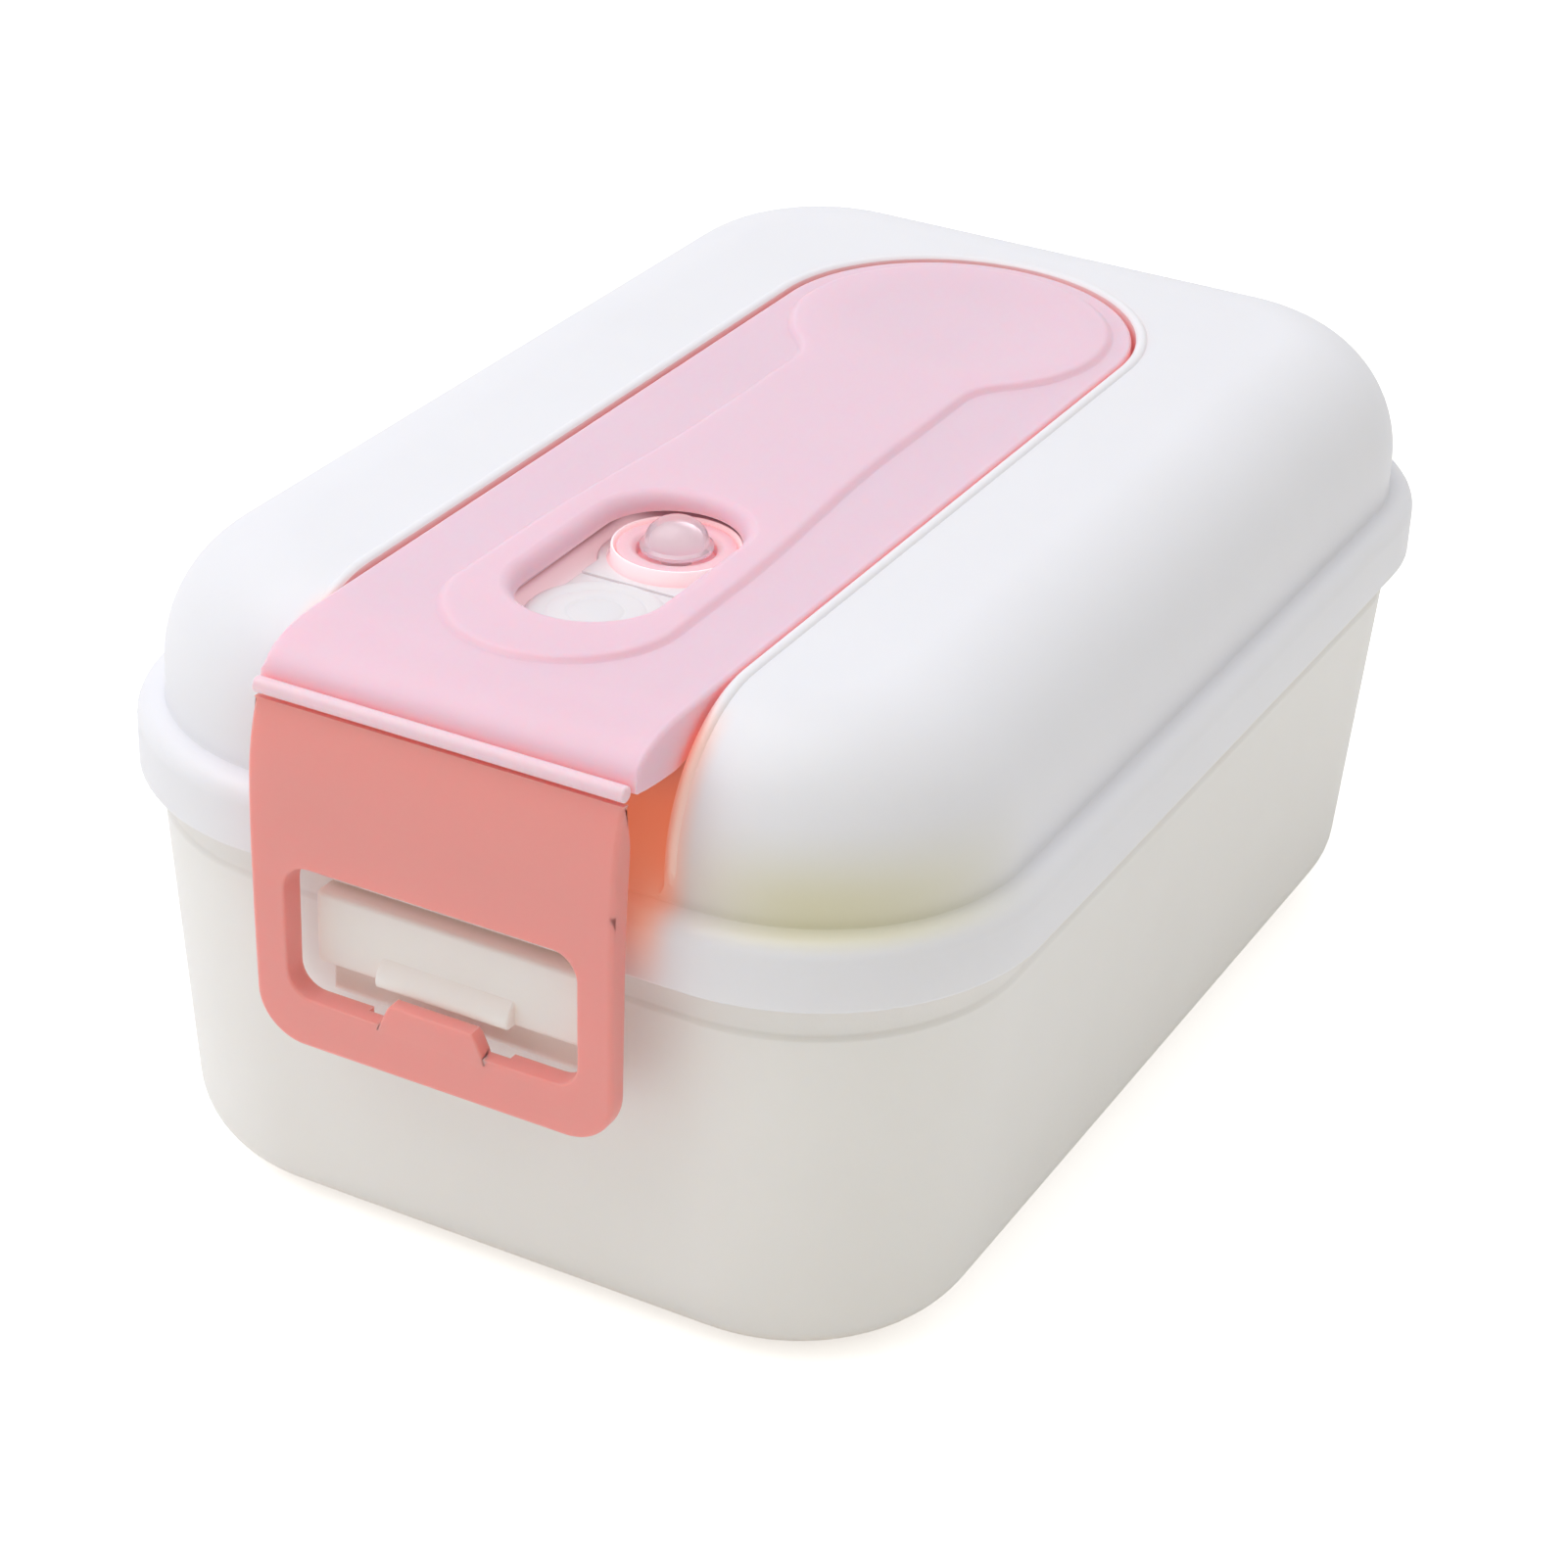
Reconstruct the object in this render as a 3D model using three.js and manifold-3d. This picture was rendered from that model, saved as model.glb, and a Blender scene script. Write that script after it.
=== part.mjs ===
// Bento lunch box: tub with an inner tray, lid on a rear pin hinge, strap cover over a cutlery
// well, front latch flap, press valve and steam plug.
// Millimetres, +Z up, the latch side faces -Y. Origin: middle of the base, on what it stands on.
import * as THREE from "three";
import { mergeVertices } from "three/addons/utils/BufferGeometryUtils.js";
import Module from "manifold-3d";

const wasm = await Module();
wasm.setup();

// ---- driving dimensions -------------------------------------------------------------------

const GAP = 0.3; // between pieces that only touch
const ARC_STEPS = 6; // facets in each quarter turn of a plan corner
const ROUND_STEPS = 24; // facets round small turned pieces

// plan of the lid's flange, from which every other outline is set in
const PLAN_HALF_X = 70;
const PLAN_HALF_Y = 102.2;
const PLAN_CORNER = 35.7;

// tub
const TUB_INSET = 3; // outer wall at the height of the skirt's lower edge
const TUB_DRAFT = 0.07;
const TUB_FOOT_FILLET = 11;
const TUB_FLOOR = 2.4;
const TUB_WALL = 3;
const TUB_RIM_WALL = 2;
const TUB_LEDGE_Z = 62.4;
const TUB_RIM_Z = 70.2;
const TUB_BAND = { z: 57, inset: 0.45 }; // from here up to the rim the wall is set in

// catch on the front of the tub
const CATCH_PLATE = { halfX: 21.3, frontY: -104.3, z0: 51.5, z1: 63 };
const CATCH_FOOT = { halfX: 20.3, frontY: -102, z0: 46.5 };
const CATCH_LIP = { halfX: 10.6, frontY: -106.1, z0: 51.7, z1: 56.1 };
const CATCH_ROOT_Y = -97;

// tray and its divider
const TRAY_SIDE_GAP = 0.5;
const TRAY_WALL = 1.4;
const TRAY_FLOOR_Z = 5;
const TRAY_FLOOR = 1.6;
const TRAY_FILLET = 9;
const TRAY_RIM = { inset: 5.4, thick: 1.5 };
const TRAY_RIB = { y: 21.5, half: 0.75, z1: 58 };
const DIVIDER_HALF = 0.75;
const DIVIDER_GUIDE = { x0: 1.05, x1: 2.25, length: 3.5 }; // pair of ribs that hold it upright

// lid
const SKIRT_Z = 63.6;
const FLANGE_Z = 73.9;
const SKIRT_WALL = 1.8;
const FLANGE_WALL = 2;
const FLANGE_ROUND = 3;
const DOME_INSET = 4.2;
const DOME_SPRING_Z = 79.2;
const DOME_FILLET = 20;
const DOME_Z = DOME_SPRING_Z + DOME_FILLET;
const LID_WALL = 2;
const PLUG_INSET = 6.6;
const PLUG_WALL = 1.6;
const PLUG_Z = 68.5;

// cutlery well in the lid
const WELL_HALF = 29.5;
const WELL_END_Y = 42.5;
const WELL_FRONT_Y = -DOME_FILLET - 58;
const WELL_FLOOR_Z = 92.9;
const WELL_LIP = { width: 1.8, rise: 0.5, sunk: 0.6 };

// strap cover
const STRAP_HALF = 28.8;
const STRAP_TOP_Z = 99.1;
const STRAP_PLATE = 1.8;
const STRAP_SIDE_WALL = 1.4;
const STRAP_FRONT_Y = -104.6;
const RELIEF_RISE = 0.9;
const RELIEF_HEAD_R = 26;
const RELIEF_NECK_HALF = 15.3;
const RELIEF_FILLET = 10;
const RELIEF_FOOT = { y: -74, r: 17.8 };
const DISH = { r: 22.5, depth: 0.8 };
const PORT = { half: 10.4, y0: -66.8, y1: -46.5 };

// latch flap, which turns on the hinge strip
const STRIP = { halfX: 28.4, y: -106.1, z: 93.35, r: 1.15 };
const FLAP_HALF = 28.4;
const FLAP_TOP_Z = 91.7;
const FLAP_BOTTOM_Z = 40;
const FLAP_CORNER = 7.5;
const WINDOW = { half: 23, z0: 48, z1: 69, corner: 4 };
const TAB = { baseHalf: 8, topHalf: 6.5, z1: 51.4, frontY: -109, backY: -106.4 };
const LIP_GROOVE_HALF = 11.3; // behind the tab, where the flap passes the catch's lip

// rear hinge
const HINGE = { y: 106, z: 63, r: 3.2, bore: 1.2, pin: 1.1 };
const TUB_KNUCKLES = [[-28, -20.6], [-8, 8], [20.6, 28]];
const LID_KNUCKLES = [[-20.3, -8.3], [8.3, 20.3]];

// press valve and steam plug
const VALVE = { y: -44.3, r: 9.4, wall: 0.9, rimZ: 96.2, bore: 2.5, stem: 2.2 };
const BUTTON = { r: 5.3, z: 95.5, rise: 4.7 };
const WASHER = { r: 4.6, thick: 1.2 };
const PLUG = { y: -66.5, r: 10.1, z: 93.2, thick: 1.6, bore: 3.3, stem: 3, hingeY: -55.7 };
const TETHER = { half: 9, thick: 0.8, clearance: 0.6 };
const COLLAR = { width: 1.6, thick: 0.9 };

// cutlery
const CUTLERY = { z: 93.2, thick: 1.4, handleX: 18.2, handleEnd: -80, handleHalf: 4.2, neckY: 16 };
const HEAD = { x: 13.3, y: 37.5, halfX: 11.6, halfY: 19.5, thick: 2.4 };
const BOWL = { halfX: 10.4, halfY: 18.2, depth: 1.7 };
const TINE_SLOT = { half: 1.1, pitch: 5.2, reach: 30 };

// ---- geometry helpers ---------------------------------------------------------------------

function facingOut(geometry) {
  const p = geometry.attributes.position;
  const index = geometry.index.array;
  const [a, b, c] = [new THREE.Vector3(), new THREE.Vector3(), new THREE.Vector3()];
  let volume = 0;
  for (let i = 0; i < index.length; i += 3) {
    a.fromBufferAttribute(p, index[i]);
    b.fromBufferAttribute(p, index[i + 1]);
    c.fromBufferAttribute(p, index[i + 2]);
    volume += a.dot(b.cross(c));
  }
  if (volume < 0) {
    for (let i = 0; i < index.length; i += 3) {
      [index[i], index[i + 1]] = [index[i + 1], index[i]];
    }
  }
  return geometry;
}

function solid(source) {
  const bare = source.clone();
  for (const name of Object.keys(bare.attributes)) {
    if (name !== "position") {
      bare.deleteAttribute(name);
    }
  }
  const merged = facingOut(mergeVertices(bare, 1e-4));
  return new wasm.Manifold(new wasm.Mesh({
    numProp: 3,
    vertProperties: new Float32Array(merged.attributes.position.array),
    triVerts: new Uint32Array(merged.index.array),
  }));
}

function geometryOf(manifold) {
  const mesh = manifold.getMesh();
  const geometry = new THREE.BufferGeometry();
  geometry.setAttribute("position", new THREE.BufferAttribute(mesh.vertProperties, 3));
  geometry.setIndex(new THREE.BufferAttribute(mesh.triVerts, 1));
  geometry.computeVertexNormals();
  return geometry;
}

// plan outline of the flange, set in all round by a distance
function plan(inset) {
  const r = Math.max(PLAN_CORNER - inset, 2);
  const cx = PLAN_HALF_X - inset - r;
  const cy = PLAN_HALF_Y - inset - r;
  const points = [];
  [[cx, cy, 0], [-cx, cy, 1], [-cx, -cy, 2], [cx, -cy, 3]].forEach(([x, y, quarter]) => {
    for (let i = 0; i <= ARC_STEPS; i += 1) {
      const angle = (quarter + i / ARC_STEPS) * Math.PI / 2;
      points.push(new THREE.Vector2(x + r * Math.cos(angle), y + r * Math.sin(angle)));
    }
  });
  return points;
}

// closed solid through plan outlines, given as [inset, z] from the lowest to the highest
function loft(levels) {
  const rings = levels.map(([inset, z]) => plan(inset).map((p) => [p.x, p.y, z]));
  const n = rings[0].length;
  const positions = rings.flat(2);
  const index = [];
  for (let level = 0; level + 1 < rings.length; level += 1) {
    for (let i = 0; i < n; i += 1) {
      const a = level * n + i;
      const b = level * n + (i + 1) % n;
      index.push(a, b, a + n, b, b + n, a + n);
    }
  }
  const last = (rings.length - 1) * n;
  for (let i = 1; i + 1 < n; i += 1) {
    index.push(0, i + 1, i, last, last + i, last + i + 1);
  }
  const geometry = new THREE.BufferGeometry();
  geometry.setAttribute("position", new THREE.Float32BufferAttribute(positions, 3));
  geometry.setIndex(index);
  return solid(geometry);
}

// a flat outline raised from z0 to z1
function prism(shape, z0, z1, curveSegments = ARC_STEPS * 2) {
  const depth = z1 - z0;
  const geometry = new THREE.ExtrudeGeometry(shape, { depth, bevelEnabled: false, curveSegments });
  return solid(geometry.translate(0, 0, z0));
}

// an outline in Y and Z run from x0 to x1
function sideways(shape, x0, x1, curveSegments = ARC_STEPS) {
  const depth = x1 - x0;
  const geometry = new THREE.ExtrudeGeometry(shape, { depth, bevelEnabled: false, curveSegments });
  const turn = new THREE.Matrix4().makeBasis(
    new THREE.Vector3(0, 1, 0),
    new THREE.Vector3(0, 0, 1),
    new THREE.Vector3(1, 0, 0),
  );
  return solid(geometry.applyMatrix4(turn).translate(x0, 0, 0));
}

function polygon(points) {
  return new THREE.Shape(points.map(([x, y]) => new THREE.Vector2(x, y)));
}

function block(x0, x1, y0, y1, z0, z1) {
  const geometry = new THREE.BoxGeometry(x1 - x0, y1 - y0, z1 - z0);
  return solid(geometry.translate((x0 + x1) / 2, (y0 + y1) / 2, (z0 + z1) / 2));
}

// a body turned about a vertical axis, from [radius, z] points that start and end on it
function turned(profile, x, y, steps = ROUND_STEPS) {
  const geometry = new THREE.LatheGeometry(profile.map(([r, z]) => new THREE.Vector2(r, z)), steps);
  return solid(geometry.rotateX(Math.PI / 2).translate(x, y, 0));
}

function disc(r, x, y, z0, z1) {
  return turned([[0, z0], [r, z0], [r, z1], [0, z1]], x, y);
}

function rodAlongX(r, x0, x1, y, z, steps = 24) {
  const geometry = new THREE.CylinderGeometry(r, r, x1 - x0, steps);
  return solid(geometry.rotateZ(Math.PI / 2).translate((x0 + x1) / 2, y, z));
}

// straight sides, a square front end and a half-round rear end
function strapOutline(half, frontY) {
  const shape = new THREE.Shape();
  shape.moveTo(-half, frontY);
  shape.lineTo(half, frontY);
  shape.lineTo(half, WELL_END_Y);
  shape.absarc(0, WELL_END_Y, half, 0, Math.PI, false);
  return shape;
}

// slot with two half-round ends, lying along Y
function slotOutline(half, y0, y1) {
  const shape = new THREE.Shape();
  shape.absarc(0, y1, half, 0, Math.PI, false);
  shape.absarc(0, y0, half, Math.PI, Math.PI * 2, false);
  return shape;
}

function roundedBox(x0, x1, y0, y1, r) {
  const shape = new THREE.Shape();
  shape.absarc(x1 - r, y1 - r, r, 0, Math.PI / 2, false);
  shape.absarc(x0 + r, y1 - r, r, Math.PI / 2, Math.PI, false);
  shape.absarc(x0 + r, y0 + r, r, Math.PI, Math.PI * 1.5, false);
  shape.absarc(x1 - r, y0 + r, r, Math.PI * 1.5, Math.PI * 2, false);
  return shape;
}

// ---- tub ----------------------------------------------------------------------------------

function tubInset(z) {
  return TUB_INSET + TUB_DRAFT * (SKIRT_Z - z);
}

// levels of a drafted wall that stands on a rounded foot
function footedLevels(extra, floorZ, fillet, topZ) {
  const levels = [];
  const start = floorZ + fillet;
  for (let i = 5; i >= 0; i -= 1) {
    const angle = i * Math.PI / 10;
    const z = start - fillet * Math.sin(angle);
    levels.push([tubInset(z) + extra + fillet * (1 - Math.cos(angle)), z]);
  }
  levels.push([tubInset(topZ) + extra, topZ]);
  return levels;
}

function catchPiece() {
  const root = CATCH_ROOT_Y;
  const { halfX, frontY, z0, z1 } = CATCH_PLATE;
  const plate = sideways(polygon([
    [root, z0], [frontY + 0.6, z0], [frontY, z0 + 0.6], [frontY, z1], [root, z1],
  ]), -halfX, halfX);
  const foot = sideways(polygon([
    [root, CATCH_FOOT.z0 - 4], [CATCH_FOOT.frontY, CATCH_FOOT.z0], [CATCH_FOOT.frontY, z0 + 1],
    [root, z0 + 1],
  ]), -CATCH_FOOT.halfX, CATCH_FOOT.halfX);
  const lip = sideways(polygon([
    [frontY + 0.5, CATCH_LIP.z0], [CATCH_LIP.frontY, CATCH_LIP.z0],
    [CATCH_LIP.frontY, CATCH_LIP.z0 + 1.4], [frontY + 0.5, CATCH_LIP.z1],
  ]), -CATCH_LIP.halfX, CATCH_LIP.halfX);
  return plate.add(foot).add(lip);
}

function tubKnuckle([x0, x1]) {
  const arm = sideways(polygon([
    [-CATCH_ROOT_Y, 52], [HINGE.y + 1.8, HINGE.z - 2.6], [HINGE.y, HINGE.z - 0.4],
    [-CATCH_ROOT_Y, HINGE.z - 0.4],
  ]), x0, x1);
  return arm.add(rodAlongX(HINGE.r, x0, x1, HINGE.y, HINGE.z));
}

function hingeBore() {
  return rodAlongX(HINGE.bore, -40, 40, HINGE.y, HINGE.z);
}

function boxBody() {
  const { z, inset } = TUB_BAND;
  const outer = loft([
    ...footedLevels(0, 0, TUB_FOOT_FILLET, z), [tubInset(z) + inset, z + inset],
    [tubInset(TUB_RIM_Z) + inset, TUB_RIM_Z],
  ]);
  const cavity = loft(footedLevels(TUB_WALL, TUB_FLOOR, TUB_FOOT_FILLET - TUB_WALL, TUB_LEDGE_Z + 1));
  const mouth = loft([
    [tubInset(TUB_LEDGE_Z) + TUB_RIM_WALL, TUB_LEDGE_Z],
    [tubInset(TUB_RIM_Z + 1) + TUB_RIM_WALL, TUB_RIM_Z + 1],
  ]);
  let body = outer.add(catchPiece());
  TUB_KNUCKLES.forEach((span) => {
    body = body.add(tubKnuckle(span));
  });
  return body.subtract(cavity).subtract(mouth).subtract(hingeBore());
}

function hingePin() {
  const end = TUB_KNUCKLES[2][1] - 0.4;
  return rodAlongX(HINGE.pin, -end, end, HINGE.y, HINGE.z);
}

// ---- tray ---------------------------------------------------------------------------------

function innerTray() {
  const extra = TUB_WALL + TRAY_SIDE_GAP;
  const rimZ = TUB_LEDGE_Z + GAP;
  const rimTop = rimZ + TRAY_RIM.thick;
  const outer = loft(footedLevels(extra, TRAY_FLOOR_Z, TRAY_FILLET, rimTop));
  const rim = loft([[TRAY_RIM.inset, rimZ], [TRAY_RIM.inset, rimTop]]);
  const inside = footedLevels(
    extra + TRAY_WALL, TRAY_FLOOR_Z + TRAY_FLOOR, TRAY_FILLET - TRAY_WALL, rimTop + 1,
  );
  const { y, half, z1 } = TRAY_RIB;
  const guides = [-1, 1].map((side) => {
    const [x0, x1] = [side * DIVIDER_GUIDE.x0, side * DIVIDER_GUIDE.x1];
    return block(
      Math.min(x0, x1), Math.max(x0, x1), y, y + DIVIDER_GUIDE.length, TRAY_FLOOR_Z + 1, z1,
    );
  });
  const rib = block(-80, 80, y - half, y + half, TRAY_FLOOR_Z, z1);
  const ribs = rib.add(guides[0]).add(guides[1]).intersect(outer);
  return outer.add(rim).subtract(loft(inside)).add(ribs);
}

function trayDivider() {
  const front = TRAY_RIB.y + TRAY_RIB.half + GAP;
  const floor = TRAY_FLOOR_Z + TRAY_FLOOR + GAP;
  return sideways(polygon([
    [front, floor], [82, floor], [87.6, 11.5], [90.2, 19], [93.1, 57], [front, 57],
  ]), -DIVIDER_HALF, DIVIDER_HALF);
}

// ---- lid ----------------------------------------------------------------------------------

// levels of the dome, offset inwards by the wall for its underside
function domeLevels(wall) {
  const levels = [];
  const fillet = DOME_FILLET - wall;
  for (let i = 0; i <= 6; i += 1) {
    const angle = i * Math.PI / 12;
    levels.push([
      DOME_INSET + wall + fillet * (1 - Math.cos(angle)),
      DOME_SPRING_Z + fillet * Math.sin(angle),
    ]);
  }
  return levels;
}

function lidOutside() {
  return loft([
    [0.5, SKIRT_Z],
    [0, SKIRT_Z + 0.5],
    [0, FLANGE_Z - FLANGE_ROUND],
    [FLANGE_ROUND * 0.29, FLANGE_Z - FLANGE_ROUND * 0.29],
    [FLANGE_ROUND, FLANGE_Z],
    [DOME_INSET, FLANGE_Z + 0.05],
    ...domeLevels(0),
  ]);
}

function lidUnderside() {
  const skirtSpace = loft([[SKIRT_WALL, SKIRT_Z - 1], [SKIRT_WALL, FLANGE_Z - FLANGE_WALL]]);
  const dome = loft([
    [PLUG_INSET + PLUG_WALL, SKIRT_Z],
    [PLUG_INSET + PLUG_WALL, FLANGE_Z + 0.6],
    [DOME_INSET + LID_WALL, FLANGE_Z + 2.6],
    ...domeLevels(LID_WALL),
  ]);
  const plugRing = loft([[PLUG_INSET, PLUG_Z], [PLUG_INSET, FLANGE_Z]]);
  return { skirtSpace: skirtSpace.subtract(plugRing), dome };
}

// floor of the well where it runs out down the front wall, from the top to the flange
const WELL_FALL = [
  [WELL_FRONT_Y, WELL_FLOOR_Z], [-83.5, 91.6], [-88.2, 87.8], [-92, 82], [-95, 77.8],
  [-98.3, FLANGE_Z + 0.4],
];

function wellCut() {
  const flat = prism(strapOutline(WELL_HALF, WELL_FRONT_Y - 0.5), WELL_FLOOR_Z, 110);
  const fall = sideways(polygon([
    [WELL_FRONT_Y, 110], ...WELL_FALL, [-115, FLANGE_Z + 0.4], [-115, 110],
  ]), -WELL_HALF, WELL_HALF);
  return flat.add(fall);
}

function wellBacking() {
  const half = WELL_HALF + LID_WALL;
  const flat = prism(strapOutline(half, WELL_FRONT_Y), WELL_FLOOR_Z - LID_WALL, DOME_Z);
  const inner = WELL_FALL.map(([y, z], i) => [y + 0.4 * i, z - LID_WALL]).reverse();
  const fall = sideways(polygon([
    ...WELL_FALL.map(([y]) => [y, 110]), ...inner,
  ]), -half, half);
  return flat.add(fall);
}

// soft raised edge round the well, which follows the dome down the front
function wellLip() {
  const { width, rise, sunk } = WELL_LIP;
  const half = WELL_HALF + width;
  const ring = prism(strapOutline(half, WELL_FRONT_Y), DOME_Z - sunk, DOME_Z + rise);
  const band = new THREE.Shape();
  band.absarc(WELL_FRONT_Y, DOME_SPRING_Z, DOME_FILLET + rise, Math.PI / 2, Math.PI, false);
  band.absarc(WELL_FRONT_Y, DOME_SPRING_Z, DOME_FILLET - sunk, Math.PI, Math.PI / 2, true);
  return ring.add(sideways(band, -half, half));
}

function lidKnuckle([x0, x1]) {
  const { y, z } = HINGE;
  const arm = sideways(polygon([
    [y - 4.6, z + 1.4], [y - 3.2, z], [y, z], [y + 3, z + 1.1], [y + 1.8, z + 3.6],
    [y - 2.6, z + 8], [y - 4.6, z + 8.7],
  ]), x0, x1);
  return arm.add(rodAlongX(HINGE.r, x0, x1, y, z));
}

function lidShell() {
  const outside = lidOutside();
  const { skirtSpace, dome } = lidUnderside();
  const backing = wellBacking().intersect(outside);
  let shell = outside.subtract(dome).add(backing).add(wellLip()).subtract(skirtSpace);
  LID_KNUCKLES.forEach((span) => {
    shell = shell.add(lidKnuckle(span));
  });
  const cup = turned([
    [0, WELL_FLOOR_Z - 1], [VALVE.r, WELL_FLOOR_Z - 1], [VALVE.r, VALVE.rimZ],
    [VALVE.r - VALVE.wall, VALVE.rimZ], [VALVE.r - VALVE.wall, WELL_FLOOR_Z], [0, WELL_FLOOR_Z],
  ], 0, VALVE.y);
  return shell.subtract(wellCut()).add(cup)
    .subtract(disc(VALVE.bore, 0, VALVE.y, 80, WELL_FLOOR_Z + 1))
    .subtract(disc(PLUG.bore, 0, PLUG.y, 80, WELL_FLOOR_Z + 1))
    .subtract(hingeBore());
}

function lidSeal() {
  const [z0, z1] = [TUB_RIM_Z + GAP, FLANGE_Z - FLANGE_WALL - GAP];
  const outer = loft([[SKIRT_WALL + 0.4, z0], [SKIRT_WALL + 0.4, z1]]);
  return outer.subtract(loft([[PLUG_INSET - 0.4, z0 - 1], [PLUG_INSET - 0.4, z1 + 1]]));
}

// ---- strap cover, hinge strip and latch flap ----------------------------------------------

function reliefOutline() {
  const neck = RELIEF_NECK_HALF;
  const filletX = neck + RELIEF_FILLET;
  const reach = RELIEF_HEAD_R + RELIEF_FILLET;
  const filletY = WELL_END_Y - Math.sqrt(reach * reach - filletX * filletX);
  const turn = Math.atan2(WELL_END_Y - filletY, filletX);
  const shape = new THREE.Shape();
  shape.absarc(0, RELIEF_FOOT.y, RELIEF_FOOT.r, Math.PI, Math.PI * 2, false);
  shape.bezierCurveTo(RELIEF_FOOT.r, -45, neck, -40, neck, -16);
  shape.absarc(filletX, filletY, RELIEF_FILLET, Math.PI, Math.PI - turn, true);
  shape.absarc(0, WELL_END_Y, RELIEF_HEAD_R, -turn, Math.PI + turn, false);
  shape.absarc(-filletX, filletY, RELIEF_FILLET, turn, 0, true);
  shape.lineTo(-neck, -16);
  shape.bezierCurveTo(-neck, -40, -RELIEF_FOOT.r, -45, -RELIEF_FOOT.r, RELIEF_FOOT.y);
  return shape;
}

// front nose of the strap, which curves down over the lid's front
function strapNose() {
  return sideways(polygon([
    [-87, STRAP_TOP_Z], [-93, STRAP_TOP_Z], [-97, 98.7], [-100, 98.1], [-102.4, 97],
    [-103.8, 95.7], [STRAP_FRONT_Y, 93.8], [STRAP_FRONT_Y, 92.7], [-101.7, 92.2],
    [-95.4, 91.6], [-91.7, 91.9], [-89.9, 93.2],
    [-87, STRAP_TOP_Z - STRAP_PLATE],
  ]), -STRAP_HALF, STRAP_HALF);
}

function strapCover() {
  const underside = STRAP_TOP_Z - STRAP_PLATE;
  const outline = strapOutline(STRAP_HALF, -88);
  const inner = strapOutline(STRAP_HALF - STRAP_SIDE_WALL, -90);
  const side = prism(outline, WELL_FLOOR_Z + GAP, STRAP_TOP_Z);
  const top = STRAP_TOP_Z + RELIEF_RISE;
  const reliefSolid = prism(reliefOutline(), underside + 0.2, top, 10);
  const dish = turned([
    [0, top - DISH.depth], [DISH.r * 0.5, top - DISH.depth * 0.75], [DISH.r, top],
    [DISH.r, top + 2], [0, top + 2],
  ], 0, WELL_END_Y, 36);
  return side.subtract(prism(inner, 90, underside)).add(strapNose()).add(reliefSolid)
    .subtract(dish).subtract(prism(slotOutline(PORT.half, PORT.y0, PORT.y1), 85, 105, 10));
}

function hingeStrip() {
  return rodAlongX(STRIP.r, -STRIP.halfX, STRIP.halfX, STRIP.y, STRIP.z, 16);
}

function latchFlap() {
  const profile = sideways(polygon([
    [-106.6, FLAP_TOP_Z], [-107.6, 88.6], [-108.7, 84], [-109.1, 79], [-109.2, 70],
    [-109, 58], [-108.6, 43], [-107.4, FLAP_BOTTOM_Z], [-105.8, FLAP_BOTTOM_Z], [-105.2, 43],
    [-105.2, 72], [-104.6, 82], [-104.5, 86], [-105.5, 91], [-105.7, FLAP_TOP_Z],
  ]), -FLAP_HALF, FLAP_HALF);
  const face = new THREE.Shape();
  const cornerZ = FLAP_BOTTOM_Z + FLAP_CORNER;
  face.moveTo(-FLAP_HALF, 95);
  face.lineTo(-FLAP_HALF, cornerZ);
  face.absarc(-FLAP_HALF + FLAP_CORNER, cornerZ, FLAP_CORNER, Math.PI, Math.PI * 1.5, false);
  face.absarc(FLAP_HALF - FLAP_CORNER, cornerZ, FLAP_CORNER, Math.PI * 1.5, Math.PI * 2, false);
  face.lineTo(FLAP_HALF, 95);
  const { half, z0, z1, corner } = WINDOW;
  const tab = polygon([
    [-TAB.baseHalf, z0 - 1], [TAB.baseHalf, z0 - 1], [TAB.topHalf, TAB.z1], [-TAB.topHalf, TAB.z1],
  ]);
  const groove = block(
    -LIP_GROOVE_HALF, LIP_GROOVE_HALF, TAB.backY, -100, FLAP_BOTTOM_Z - 1, z0 + 1,
  );
  return profile.intersect(facing(face, -115, -100))
    .subtract(facing(roundedBox(-half, half, z0, z1, corner), -115, -100))
    .subtract(groove)
    .add(facing(tab, TAB.frontY, TAB.backY));
}

// an outline in X and Z run from y0 to y1
function facing(shape, y0, y1) {
  const geometry = new THREE.ExtrudeGeometry(shape, {
    depth: y1 - y0, bevelEnabled: false, curveSegments: ARC_STEPS,
  });
  return solid(geometry.rotateX(Math.PI / 2).translate(0, y1, 0));
}

// ---- press valve, steam plug and cutlery --------------------------------------------------

function valveRing() {
  const [inner, outer] = [BUTTON.r + 0.4, VALVE.r - VALVE.wall - GAP];
  const [z0, z1] = [WELL_FLOOR_Z + GAP, VALVE.rimZ - 0.3];
  const ring = turned([
    [0, z0], [outer, z0], [outer, z1 - 0.5], [outer - 0.5, z1], [inner + 0.5, z1],
    [inner, z1 - 0.5], [0, z1 - 0.5],
  ], 0, VALVE.y);
  return ring.subtract(disc(inner, 0, VALVE.y, z0 - 1, z1 + 1));
}

function valveButton() {
  const profile = [[0, BUTTON.z], [BUTTON.r, BUTTON.z], [BUTTON.r, BUTTON.z + 0.6]];
  for (let i = 1; i <= 6; i += 1) {
    const angle = i * Math.PI / 12;
    const z = BUTTON.z + 0.6 + (BUTTON.rise - 0.6) * Math.sin(angle);
    profile.push([i === 6 ? 0 : BUTTON.r * Math.cos(angle), z]);
  }
  return turned(profile, 0, VALVE.y);
}

function valveStem() {
  const foot = WELL_FLOOR_Z - LID_WALL - 1.5;
  return turned([
    [0, foot - 1.6], [1.6, foot - 1.6], [VALVE.stem, foot - 1], [VALVE.stem, BUTTON.z - GAP],
    [0, BUTTON.z - GAP],
  ], 0, VALVE.y, 20);
}

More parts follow.
